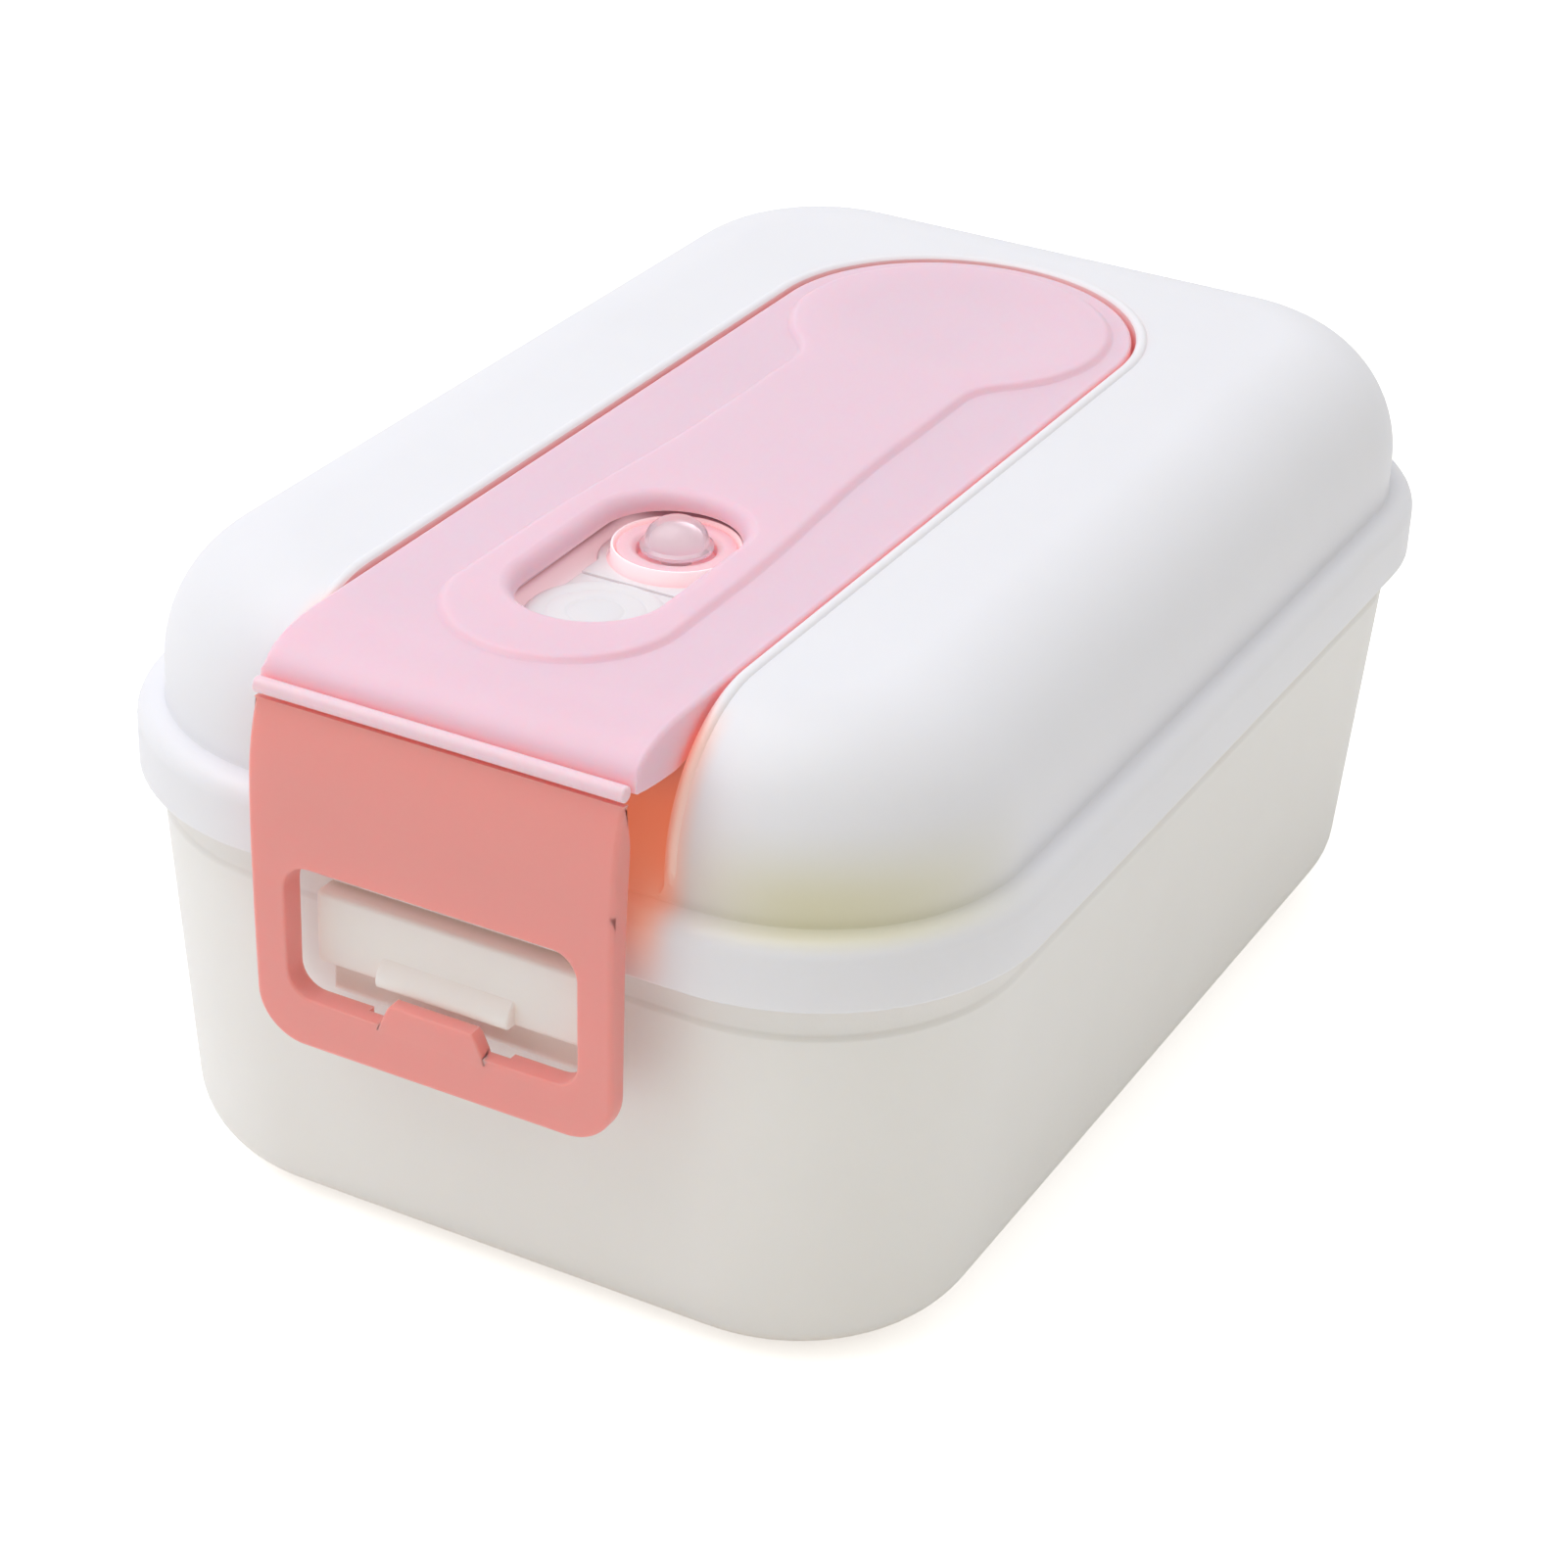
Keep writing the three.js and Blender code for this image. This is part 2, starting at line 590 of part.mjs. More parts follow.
function valveWasher() {
  const z1 = WELL_FLOOR_Z - LID_WALL - GAP;
  return disc(WASHER.r, 0, VALVE.y, z1 - WASHER.thick, z1)
    .subtract(disc(VALVE.stem + 0.1, 0, VALVE.y, 80, 95));
}

function steamPlug() {
  const { y, r, z, thick } = PLUG;
  const head = turned([
    [0, z - 3], [PLUG.stem - 0.6, z - 3], [PLUG.stem, z - 0.6], [PLUG.stem, z], [r - 0.4, z],
    [r, z + 0.5], [r, z + thick - 0.6], [r - 0.6, z + thick], [r * 0.5, z + thick + 0.25],
    [0, z + thick + 0.3],
  ], 0, y, 32);
  const { half, thick: web } = TETHER;
  const strip = block(-half, half, y + r / 2, PLUG.hingeY, z, z + web);
  return head.add(strip);
}

function tetherAnchor() {
  const z0 = WELL_FLOOR_Z + GAP;
  const inner = VALVE.r + GAP;
  const outer = inner + COLLAR.width;
  const top = z0 + COLLAR.thick;
  const front = PLUG.hingeY + TETHER.clearance;
  return disc(outer, 0, VALVE.y, z0, top)
    .add(block(-TETHER.half, TETHER.half, front, VALVE.y, z0, top))
    .subtract(disc(inner, 0, VALVE.y, 90, 97))
    .subtract(block(-outer, outer, front - outer, front, 90, 97));
}

function handleOutline() {
  const { handleX, handleEnd, handleHalf, neckY } = CUTLERY;
  const endY = handleEnd + handleHalf;
  const shape = new THREE.Shape();
  shape.moveTo(handleX - handleHalf, endY);
  shape.absarc(handleX, endY, handleHalf, Math.PI, Math.PI * 2, false);
  shape.lineTo(handleX + 3, neckY - 14);
  shape.quadraticCurveTo(handleX + 2, neckY - 2, HEAD.x + 3, neckY + 6);
  shape.lineTo(HEAD.x - 2, neckY + 6);
  shape.quadraticCurveTo(handleX - 2.6, neckY - 2, handleX - 3, neckY - 14);
  return shape;
}

function headOutline() {
  const shape = new THREE.Shape();
  shape.absellipse(HEAD.x, HEAD.y, HEAD.halfX, HEAD.halfY, 0, Math.PI * 2, false);
  return shape;
}

function spoon() {
  const { z, thick } = CUTLERY;
  const bowl = new THREE.SphereGeometry(1, 20, 12);
  bowl.scale(BOWL.halfX, BOWL.halfY, BOWL.depth);
  bowl.translate(HEAD.x, HEAD.y, z + HEAD.thick + 0.1);
  return prism(handleOutline(), z, z + thick, 6)
    .add(prism(headOutline(), z, z + HEAD.thick, 12)).subtract(solid(bowl));
}

function fork() {
  const { z, thick } = CUTLERY;
  const { half, pitch, reach } = TINE_SLOT;
  let piece = prism(handleOutline(), z, z + thick, 6)
    .add(prism(headOutline(), z, z + thick, 12));
  [-pitch, 0, pitch].forEach((offset) => {
    const x = HEAD.x + offset;
    piece = piece.subtract(block(x - half, x + half, HEAD.y - 4, HEAD.y + reach, 90, 100));
  });
  return piece.mirror([1, 0, 0]);
}

// ---- assembly -----------------------------------------------------------------------------

function pieceMesh(name, manifold, color, roughness, extra = {}) {
  const material = new THREE.MeshStandardMaterial({ color, roughness, metalness: 0, ...extra });
  const mesh = new THREE.Mesh(geometryOf(manifold), material);
  mesh.name = name;
  return mesh;
}

const box = new THREE.Group();
box.add(
  pieceMesh("box_body", boxBody(), 0xe6e2dd, 0.45),
  pieceMesh("inner_tray", innerTray(), 0xf4f3f1, 0.5),
  pieceMesh("tray_divider", trayDivider(), 0xeec6d6, 0.5),
  pieceMesh("hinge_pin", hingePin(), 0xb9bcc0, 0.3, { metalness: 1 }),
);

const lid = new THREE.Group();
lid.add(
  pieceMesh("lid_shell", lidShell(), 0xf0f0f6, 0.45),
  pieceMesh("lid_seal", lidSeal(), 0xf1c9d3, 0.6),
  pieceMesh("valve_ring", valveRing(), 0xf2c3cf, 0.5),
  pieceMesh("tether_anchor", tetherAnchor(), 0xf3eef5, 0.5),
  pieceMesh("spoon", spoon(), 0xf2d3dc, 0.4),
  pieceMesh("fork", fork(), 0xf2d3dc, 0.4),
);

const strap = new THREE.Group();
strap.add(
  pieceMesh("strap_cover", strapCover(), 0xedcddd, 0.5),
  pieceMesh("hinge_strip", hingeStrip(), 0xe8cbe2, 0.5),
);

const flap = new THREE.Group();
flap.add(pieceMesh("latch_flap", latchFlap(), 0xe3978f, 0.5));

const valve = new THREE.Group();
valve.add(
  pieceMesh("valve_button", valveButton(), 0xebd6e0, 0.1, { transparent: true, opacity: 0.5 }),
  pieceMesh("valve_stem", valveStem(), 0xf3eef5, 0.4),
  pieceMesh("valve_washer", valveWasher(), 0xf2c3cf, 0.6),
);

const plug = new THREE.Group();
plug.add(pieceMesh("steam_plug", steamPlug(), 0xf3eef5, 0.45));

const lunchBox = new THREE.Group();
lunchBox.add(box, lid, strap, flap, valve, plug);

export default lunchBox;
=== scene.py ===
import math
from contextlib import contextmanager

import bmesh
import bpy
from bpy.props import FloatProperty, FloatVectorProperty, PointerProperty
from mathutils import Matrix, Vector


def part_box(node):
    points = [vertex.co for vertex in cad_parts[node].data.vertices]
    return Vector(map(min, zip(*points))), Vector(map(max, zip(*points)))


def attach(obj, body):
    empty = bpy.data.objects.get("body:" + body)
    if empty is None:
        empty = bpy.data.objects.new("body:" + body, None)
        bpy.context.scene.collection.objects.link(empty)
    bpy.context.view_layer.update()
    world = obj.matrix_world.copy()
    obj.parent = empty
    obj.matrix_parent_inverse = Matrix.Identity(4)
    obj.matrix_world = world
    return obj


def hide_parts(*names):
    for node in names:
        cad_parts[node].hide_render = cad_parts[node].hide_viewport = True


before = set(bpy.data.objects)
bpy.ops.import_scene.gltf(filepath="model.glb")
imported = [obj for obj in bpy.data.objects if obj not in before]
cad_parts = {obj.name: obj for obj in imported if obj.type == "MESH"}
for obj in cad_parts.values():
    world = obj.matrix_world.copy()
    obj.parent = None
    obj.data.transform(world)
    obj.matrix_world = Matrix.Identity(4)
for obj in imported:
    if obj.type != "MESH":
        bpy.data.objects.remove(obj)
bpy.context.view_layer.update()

bl_info = {
    "name": "Lunch Box Maker",
    "version": (1, 0, 0),
    "blender": (4, 5, 0),
    "location": "View3D > Sidebar > Lunch Box",
    "description": "Models a bento lunch box with a latch flap, strap cover and steam valve",
    "category": "Add Mesh",
}

MM = 0.001  # pieces are shaped in millimetres and finished in metres
CORNER_STEPS = 22
TINY = 0.02


# ---- sizes read from the frame ------------------------------------------------------------

def node_mm(node):
    low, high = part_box(node)
    return low / MM, high / MM


LID_LOW, LID_HIGH = node_mm("lid_shell")
TUB_HIGH = node_mm("box_body")[1]
STRAP_LOW, STRAP_HIGH = node_mm("strap_cover")
FLAP_LOW, FLAP_HIGH = node_mm("latch_flap")
STRIP_LOW, STRIP_HIGH = node_mm("hinge_strip")
BUTTON_LOW, BUTTON_HIGH = node_mm("valve_button")
RING_LOW, RING_HIGH = node_mm("valve_ring")
STEM_LOW, STEM_HIGH = node_mm("valve_stem")
WASHER_LOW, WASHER_HIGH = node_mm("valve_washer")
PLUG_LOW, PLUG_HIGH = node_mm("steam_plug")
TETHER_LOW, TETHER_HIGH = node_mm("tether_anchor")
TRAY_LOW, TRAY_HIGH = node_mm("inner_tray")
DIVIDER_LOW, DIVIDER_HIGH = node_mm("tray_divider")
PIN_LOW, PIN_HIGH = node_mm("hinge_pin")
SEAL_LOW, SEAL_HIGH = node_mm("lid_seal")
SPOON_LOW = node_mm("spoon")[0]

PLAN_X = LID_HIGH.x
PLAN_Y = -LID_LOW.y
SKIRT_Z = LID_LOW.z + 3.8
VALVE_Y = (RING_LOW.y + RING_HIGH.y) / 2
HINGE_Y = (PIN_LOW.y + PIN_HIGH.y) / 2
HINGE_Z = (PIN_LOW.z + PIN_HIGH.z) / 2

BARREL_RADIUS, PIN_BORE = 3.2, 1.2  # rear hinge
PORT_FRONT, PORT_REAR = -67.8, -46.5  # centres of the port's round ends
CATCH_ROOT_Y = -97.0  # the catch starts inside the tub's wall
GROOVE_HALF, GROOVE_Y = 11.3, -106.4  # behind the flap's tab, where it passes the catch's lip


def length(name, description, default):
    return FloatProperty(
        name=name, description=description + ", in mm", min=0.0, precision=2, default=default)


class LunchBoxShape(bpy.types.PropertyGroup):
    """Sizes of the lunch box, in millimetres"""

    plan_corner: length("Flange corner", "Plan radius of the lid flange's corners", 35.7)
    flange_top: length("Flange top", "Height of the lid flange's upper face", 73.9)
    skirt_wall: length("Skirt wall", "Thickness of the lid's skirt", 1.8)
    dome_inset: length("Dome inset", "How far the dome's wall stands in from the flange", 4.2)
    dome_spring: length("Dome spring", "Height at which the dome's wall starts to round", 79.2)
    dome_fillet: length("Dome round", "Radius of the dome's upper edge", 20.0)
    well_half: length("Well half width", "Half the width of the well in the lid", 29.5)
    well_floor: length("Well floor", "Height of the well's floor", 92.9)
    well_end: length("Well end", "Centre of the well's round rear end", 42.5)
    lip_radius: length("Lip radius", "Radius of the raised lip round the well", 1.0)
    tub_inset: length("Tub inset", "Tub wall's distance in from the flange, at the skirt", 3.0)
    tub_draft: FloatProperty(
        name="Tub draft", description="How fast the tub narrows downwards", subtype="FACTOR",
        min=0.0, max=1.0, default=0.07)
    tub_foot: length("Tub foot round", "Radius of the tub's lower edge", 11.0)
    strap_plate: length("Strap plate", "Thickness of the strap cover", 1.8)
    relief_rise: length("Relief rise", "How far the strap's relief stands up", 0.9)
    port_half: length("Port half width", "Half the width of the opening over the valve", 10.4)


def tint(name, description, colour):
    return FloatVectorProperty(
        name=name, description=description, subtype="COLOR", size=3, min=0.0, max=1.0,
        default=colour)


class LunchBoxColours(bpy.types.PropertyGroup):
    """Colours of the lunch box's mouldings"""

    lid: tint("Lid", "White plastic of the lid", (0.83, 0.83, 0.89))
    tub: tint("Tub", "Frosted plastic of the tub", (0.87, 0.85, 0.845))
    tray: tint("Tray", "Plastic of the inner tray", (0.85, 0.84, 0.83))
    strap: tint("Strap", "Pink plastic of the strap cover", (0.81, 0.58, 0.7))
    strip: tint("Strip", "Paler pink of the hinge strip", (0.8, 0.63, 0.72))
    flap: tint("Flap", "Deeper pink of the latch flap", (0.82, 0.335, 0.315))
    soft_pink: tint("Pink silicone", "Valve ring, washer and lid seal", (0.85, 0.6, 0.68))
    soft_white: tint("White silicone", "Steam plug and its tether", (0.78, 0.78, 0.82))
    clear: tint("Clear cap", "Clear plastic of the press button", (0.97, 0.8, 0.87))
    # painted shade and glow colour, put into the creases of the pink pieces and the lid
    shade: tint("Pink shade", "Glow of pink plastic in its creases", (0.95, 0.34, 0.31))


# ---- modelling helpers --------------------------------------------------------------------

def deselect():
    if bpy.context.mode != "OBJECT":
        bpy.ops.object.mode_set(mode="OBJECT")
    bpy.ops.object.select_all(action="DESELECT")


def activate(obj):
    deselect()
    obj.select_set(True)
    bpy.context.view_layer.objects.active = obj


@contextmanager
def editing(obj, kind="FACE"):
    activate(obj)
    bpy.ops.object.mode_set(mode="EDIT")
    bpy.ops.mesh.select_mode(type=kind)
    bpy.ops.mesh.select_all(action="DESELECT")
    yield
    bpy.ops.object.mode_set(mode="OBJECT")


def pick(obj, kind, test):
    """Selects the faces, edges or verts that pass a test, and says how many."""
    bm = bmesh.from_edit_mesh(obj.data)
    bm.normal_update()
    chosen = 0
    for element in getattr(bm, kind):
        wanted = test(element)
        element.select_set(wanted)
        chosen += wanted
    bm.select_flush_mode()
    bmesh.update_edit_mesh(obj.data)
    return chosen


def middle(edge):
    return (edge.verts[0].co + edge.verts[1].co) / 2


def arc(cx, cy, radius, start, stop, steps):
    """Points of an arc, with its angles in degrees."""
    points = []
    for i in range(steps + 1):
        angle = math.radians(start + (stop - start) * i / steps)
        points.append((cx + radius * math.cos(angle), cy + radius * math.sin(angle)))
    return points


def rounded_plan(half_x, half_y, radius, steps=CORNER_STEPS):
    cx, cy = half_x - radius, half_y - radius
    points = []
    for sx, sy, start in ((1, 1, 0), (-1, 1, 90), (-1, -1, 180), (1, -1, 270)):
        points += arc(sx * cx, sy * cy, radius, start, start + 90, steps)
    return points


def plan(inset):
    """Outline of the flange, set in all round."""
    corner = bpy.context.scene.lunch_shape.plan_corner
    return rounded_plan(PLAN_X - inset, PLAN_Y - inset, corner - inset)


def new_outline(name, corners):
    """A filled primitive circle, with one of its corners put at each given point."""
    deselect()
    bpy.ops.mesh.primitive_circle_add(vertices=len(corners), radius=1, fill_type="NGON")
    obj = bpy.context.object
    obj.name = name
    for vertex, corner in zip(obj.data.vertices, corners):
        vertex.co = corner
    return obj


def raised(name, corners, move):
    """A flat outline, extruded along a vector into a closed solid."""
    obj = new_outline(name, corners)
    with editing(obj):
        bpy.ops.mesh.select_all(action="SELECT")
        bpy.ops.mesh.extrude_region_move(TRANSFORM_OT_translate={"value": move})
        bpy.ops.mesh.select_all(action="SELECT")
        bpy.ops.mesh.normals_make_consistent(inside=False)
    return obj


def upright(name, outline, low, high):
    return raised(name, [(x, y, low) for x, y in outline], (0, 0, high - low))


def across(name, outline, half):
    """A side outline in Y and Z, run across from -half to half."""
    return raised(name, [(-half, y, z) for y, z in outline], (2 * half, 0, 0))


def through(name, outline, back, front):
    """A front outline in X and Z, run from the back to the front."""
    return raised(name, [(x, back, z) for x, z in outline], (0, front - back, 0))


def carry(profile, looks_up, half_x=PLAN_X, half_y=PLAN_Y, centre=(0, 0)):
    """Carries the selected end face through a profile of (inset, height) points."""
    for (inset0, z0), (inset1, z1) in zip(profile, profile[1:]):
        inset, rise = inset1 - inset0, z1 - z0
        if inset > 1e-6:
            bpy.ops.mesh.inset(thickness=inset, depth=rise if looks_up else -rise)
        else:
            bpy.ops.mesh.extrude_region_move(TRANSFORM_OT_translate={"value": (0, 0, rise)})
            if inset < -1e-6:
                bpy.ops.transform.resize(
                    value=(1 - inset / (half_x - inset0), 1 - inset / (half_y - inset0), 1),
                    center_override=(*centre, z1))


def stack(name, outline, upper, lower=()):
    """A solid raised from an outline through an upper profile, and through a lower one from
    its underside. The upper profile starts with a straight stretch."""
    obj = upright(name, outline, upper[0][1], upper[1][1])
    with editing(obj):
        if len(upper) > 2:
            pick(obj, "faces", lambda f: f.normal.z > 0.99)
            carry(upper[1:], True)
        if lower:
            bpy.ops.mesh.select_all(action="DESELECT")
            base = upper[0][1]
            pick(obj, "faces", lambda f: f.normal.z < -0.99 and abs(f.verts[0].co.z - base) < 1e-3)
            carry(lower, False)
        bpy.ops.mesh.select_all(action="SELECT")
        bpy.ops.mesh.normals_make_consistent(inside=False)
    return obj


def turned(name, x, y, profile, steps=64):
    """A round body on a vertical axis, carried up through (radius, height) points."""
    (r0, z0), (r1, z1) = profile[0], profile[1]
    obj = upright(name, arc(x, y, r0, 0, 360 - 360 / steps, steps - 1), z0, z1)
    with editing(obj):
        pick(obj, "faces", lambda f: f.normal.z > 0.99)
        if abs(r1 - r0) > 1e-6:
            bpy.ops.transform.resize(value=(r1 / r0, r1 / r0, 1), center_override=(x, y, z1))
        for (ra, za), (rb, zb) in zip(profile[1:], profile[2:]):
            bpy.ops.mesh.extrude_region_move(TRANSFORM_OT_translate={"value": (0, 0, zb - za)})
            if abs(rb - ra) > 1e-6:
                bpy.ops.transform.resize(value=(rb / ra, rb / ra, 1), center_override=(x, y, zb))
        bpy.ops.mesh.select_all(action="SELECT")
        bpy.ops.mesh.normals_make_consistent(inside=False)
    return obj


def rod_along_x(name, radius, x0, x1, y, z, vertices=48):
    deselect()
    bpy.ops.mesh.primitive_cylinder_add(
        vertices=vertices, radius=radius, depth=x1 - x0, location=((x0 + x1) / 2, y, z),
        rotation=(0, math.pi / 2, 0))
    obj = bpy.context.object
    obj.name = name
    bpy.ops.object.transform_apply(location=True, rotation=True, scale=True)
    return obj


def volume(obj):
    bm = bmesh.new()
    bm.from_mesh(obj.data)
    amount = bm.calc_volume(signed=True)
    bm.free()
    return amount


def combine(obj, tool, operation):
    """Applies a boolean with a tool, which is used up, and checks the volume that is left."""
    before = volume(obj)
    least = before - 0.5 if operation == "UNION" else 0
    most = before + (volume(tool) if operation == "UNION" else 0) + 0.5
    modifier = obj.modifiers.new(operation.lower(), "BOOLEAN")
    modifier.operation = operation
    modifier.solver = "EXACT"
    modifier.object = tool
    activate(obj)
    bpy.ops.object.modifier_apply(modifier=modifier.name)
    bpy.data.objects.remove(tool)
    if not least < volume(obj) < most:
        raise RuntimeError(f"{obj.name}: a {operation.lower()} left the wrong volume")
    return obj


def add(obj, *tools):
    for tool in tools:
        combine(obj, tool, "UNION")
    return obj


def cut(obj, *tools):
    for tool in tools:
        combine(obj, tool, "DIFFERENCE")
    return obj


def tidy_mesh(obj):
    with editing(obj, "VERT"):
        bpy.ops.mesh.select_all(action="SELECT")
        bpy.ops.mesh.remove_doubles(threshold=0.004)
        bpy.ops.mesh.dissolve_degenerate(threshold=0.004)


def round_edges(obj, width, segments, test, angle=32):
    """Rounds the edges sharper than an angle that pass a test on their middle."""
    sharp = math.radians(angle)
    with editing(obj, "EDGE"):
        chosen = pick(obj, "edges", lambda e: (
            len(e.link_faces) == 2 and e.calc_face_angle(0) > sharp and test(middle(e))))
        if chosen:
            bpy.ops.mesh.bevel(
                offset=width, segments=segments, profile=0.5, clamp_overlap=False,
                loop_slide=True)
    return obj


def round_ends(obj, radius, segments, rear_y):
    """Turns the two upright rear edges of a solid into one half round."""
    with editing(obj, "EDGE"):
        pick(obj, "edges", lambda e: (
            abs(e.verts[0].co.x - e.verts[1].co.x) < 1e-4
            and abs(e.verts[0].co.z - e.verts[1].co.z) > 0.1
            and min(v.co.y for v in e.verts) > rear_y - 0.01))
        bpy.ops.mesh.bevel(offset=radius, segments=segments, profile=0.5)
        bpy.ops.mesh.select_all(action="SELECT")
        bpy.ops.mesh.remove_doubles(threshold=0.03)
    return obj


def finish_piece(obj, name, body, nodes, material, smooth=34):
    """Cleans a piece, brings it to metres at the origin, and puts it on its body."""
    obj.name = name
    tidy_mesh(obj)
    with editing(obj):
        bpy.ops.mesh.select_all(action="SELECT")
        bpy.ops.mesh.normals_make_consistent(inside=False)
    activate(obj)
    obj.scale = (MM, MM, MM)
    bpy.ops.object.transform_apply(location=True, rotation=True, scale=True)
    bpy.ops.object.shade_smooth_by_angle(angle=math.radians(smooth))
    modifier = obj.modifiers.new("even_shading", "WEIGHTED_NORMAL")
    modifier.keep_sharp = True
    bpy.ops.object.modifier_apply(modifier=modifier.name)
    obj.data.materials.clear()
    obj.data.materials.append(material)
    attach(obj, body)
    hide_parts(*nodes)
    return obj


# ---- materials ----------------------------------------------------------------------------

WHITE_SPREAD = (1.0, 0.85, 0.7)
PINK_SPREAD = (1.0, 0.28, 0.22)  # light goes furthest in red inside the pink pieces


def new_material(name):
    material = bpy.data.materials.new(name)
    material.use_nodes = True
    return material, material.node_tree, material.node_tree.nodes["Principled BSDF"]


def object_place(tree):
    return tree.nodes.new("ShaderNodeTexCoord").outputs["Object"]


def feed(tree, socket, value):
    """Links an output into a socket, or sets the socket to a plain value."""
    if isinstance(value, bpy.types.NodeSocket):
        tree.links.new(value, socket)
    else:
        socket.default_value = value


def maths(tree, operation, a, b):
    node = tree.nodes.new("ShaderNodeMath")
    node.operation = operation
    feed(tree, node.inputs[0], a)
    feed(tree, node.inputs[1], b)
    return node.outputs[0]


def mixed(tree, factor, a, b, kind="MIX"):
    node = tree.nodes.new("ShaderNodeMix")
    node.data_type = "RGBA"
    node.blend_type = kind
    for index, value in ((0, factor), (6, a), (7, b)):
        feed(tree, node.inputs[index], value)
    return node.outputs[2]


def ramped(tree, value, start, stop, low=0.0, high=1.0, soft=False):
    node = tree.nodes.new("ShaderNodeMapRange")
    node.interpolation_type = "SMOOTHSTEP" if soft else "LINEAR"
    for name, amount in (
        ("Value", value), ("From Min", start), ("From Max", stop), ("To Min", low), ("To Max", high),
    ):
        feed(tree, node.inputs[name], amount)
    return node.outputs["Result"]


def noisy(tree, place, scale=5.0, detail=2.0):
    node = tree.nodes.new("ShaderNodeTexNoise")
    for name, value in (("Vector", place), ("Scale", scale), ("Detail", detail)):
        feed(tree, node.inputs[name], value)
    return node.outputs["Fac"]


def moulded_painted_shade_group():
    """Moulded surface: grain, flow clouds, painted edge highlight, painted crease shade and glow."""
    tree = bpy.data.node_groups.get("moulded_surface")
    if tree:
        return tree
    tree = bpy.data.node_groups.new("moulded_surface", "ShaderNodeTree")
    for way, kind, names in (
        ("INPUT", "NodeSocketColor", ("Color", "Crease Color")),
        ("INPUT", "NodeSocketFloat", ("Clouds", "Roughness", "Crease", "Crease Reach")),
        ("OUTPUT", "NodeSocketColor", ("Color", "Glow")),
        ("OUTPUT", "NodeSocketFloat", ("Roughness", "Height")),
    ):
        for name in names:
            tree.interface.new_socket(name, in_out=way, socket_type=kind)
    source = tree.nodes.new("NodeGroupInput").outputs
    sink = tree.nodes.new("NodeGroupOutput").inputs
    place = object_place(tree)
    cloud_scale, grain_scale, painted_highlight_strength, roughness_spread = 38.0, 1400.0, 0.04, 0.08
    clouds = maths(tree, "SUBTRACT", noisy(tree, place, cloud_scale, 3.0), 0.5)
    grain = noisy(tree, place, grain_scale, 4.0)
    # painted highlight: sharply convex edges are lightened, by how pointed the mesh is there
    pointed = tree.nodes.new("ShaderNodeNewGeometry").outputs["Pointiness"]
    edge = maths(tree, "MULTIPLY", ramped(tree, pointed, 0.5, 0.62), painted_highlight_strength)
    shade = maths(tree, "MULTIPLY", clouds, source["Clouds"])
    clouds_and_painted_highlight = maths(tree, "ADD", maths(tree, "ADD", shade, edge), 1.0)
    # painted shade: where the surface is occluded within the reach, its colour turns to the shade
    # colour
    hollow = tree.nodes.new("ShaderNodeAmbientOcclusion")
    hollow.samples = 8
    tree.links.new(source["Crease Reach"], hollow.inputs["Distance"])
    depth = maths(tree, "MULTIPLY", maths(tree, "SUBTRACT", 1.0, hollow.outputs["AO"]),
                  source["Crease"])
    colour_with_painted_shade = mixed(tree, depth, source["Color"], source["Crease Color"])
    spread = maths(tree, "MULTIPLY", maths(tree, "SUBTRACT", grain, 0.5), roughness_spread)
    # the painted shade amount also drives a painted glow, meant for the emission
    for name, value in (
        ("Color", mixed(tree, 1.0, colour_with_painted_shade, clouds_and_painted_highlight, "MULTIPLY")),
        ("Glow", mixed(tree, depth, (0, 0, 0, 1), source["Crease Color"])),
        ("Roughness", maths(tree, "ADD", source["Roughness"], spread)),
        ("Height", grain),
    ):
        tree.links.new(value, sink[name])
    return tree


def moulding(name, colour, roughness=0.4, soft=0.0, grain=0.02, clouds=0.04, depth=0.0015,
             coat=0.0, shade=None, crease=0.0, reach=0.004, glow=0.0, spread=WHITE_SPREAD):
    """A moulded plastic or silicone, with its surface, painted crease shade and glow from the shared
    group.
    """
    material, tree, shader = new_material(name)
    surface = tree.nodes.new("ShaderNodeGroup")
    surface.node_tree = moulded_painted_shade_group()
    for socket, value in (
        ("Color", (*colour, 1)), ("Crease Color", (*(shade or colour), 1)), ("Clouds", clouds),
        ("Roughness", roughness), ("Crease", crease), ("Crease Reach", reach),
    ):
        surface.inputs[socket].default_value = value
    bump = tree.nodes.new("ShaderNodeBump")
    bump.inputs["Strength"].default_value = grain * 10
    bump.inputs["Distance"].default_value = 0.0001
    tree.links.new(surface.outputs["Color"], shader.inputs["Base Color"])
    tree.links.new(surface.outputs["Roughness"], shader.inputs["Roughness"])
    tree.links.new(surface.outputs["Height"], bump.inputs["Height"])
    tree.links.new(bump.outputs["Normal"], shader.inputs["Normal"])
    # painted glow: the creases' shade colour is sent into the emission, so they give off light
    if glow:
        tree.links.new(surface.outputs["Glow"], shader.inputs["Emission Color"])
        shader.inputs["Emission Strength"].default_value = glow
    shader.inputs["IOR"].default_value = 1.49
    shader.inputs["Coat Weight"].default_value = coat
    if soft:
        shader.inputs["Subsurface Weight"].default_value = soft
        shader.inputs["Subsurface Radius"].default_value = spread
        shader.inputs["Subsurface Scale"].default_value = depth
    material.diffuse_color = (*colour, 1)
    return material


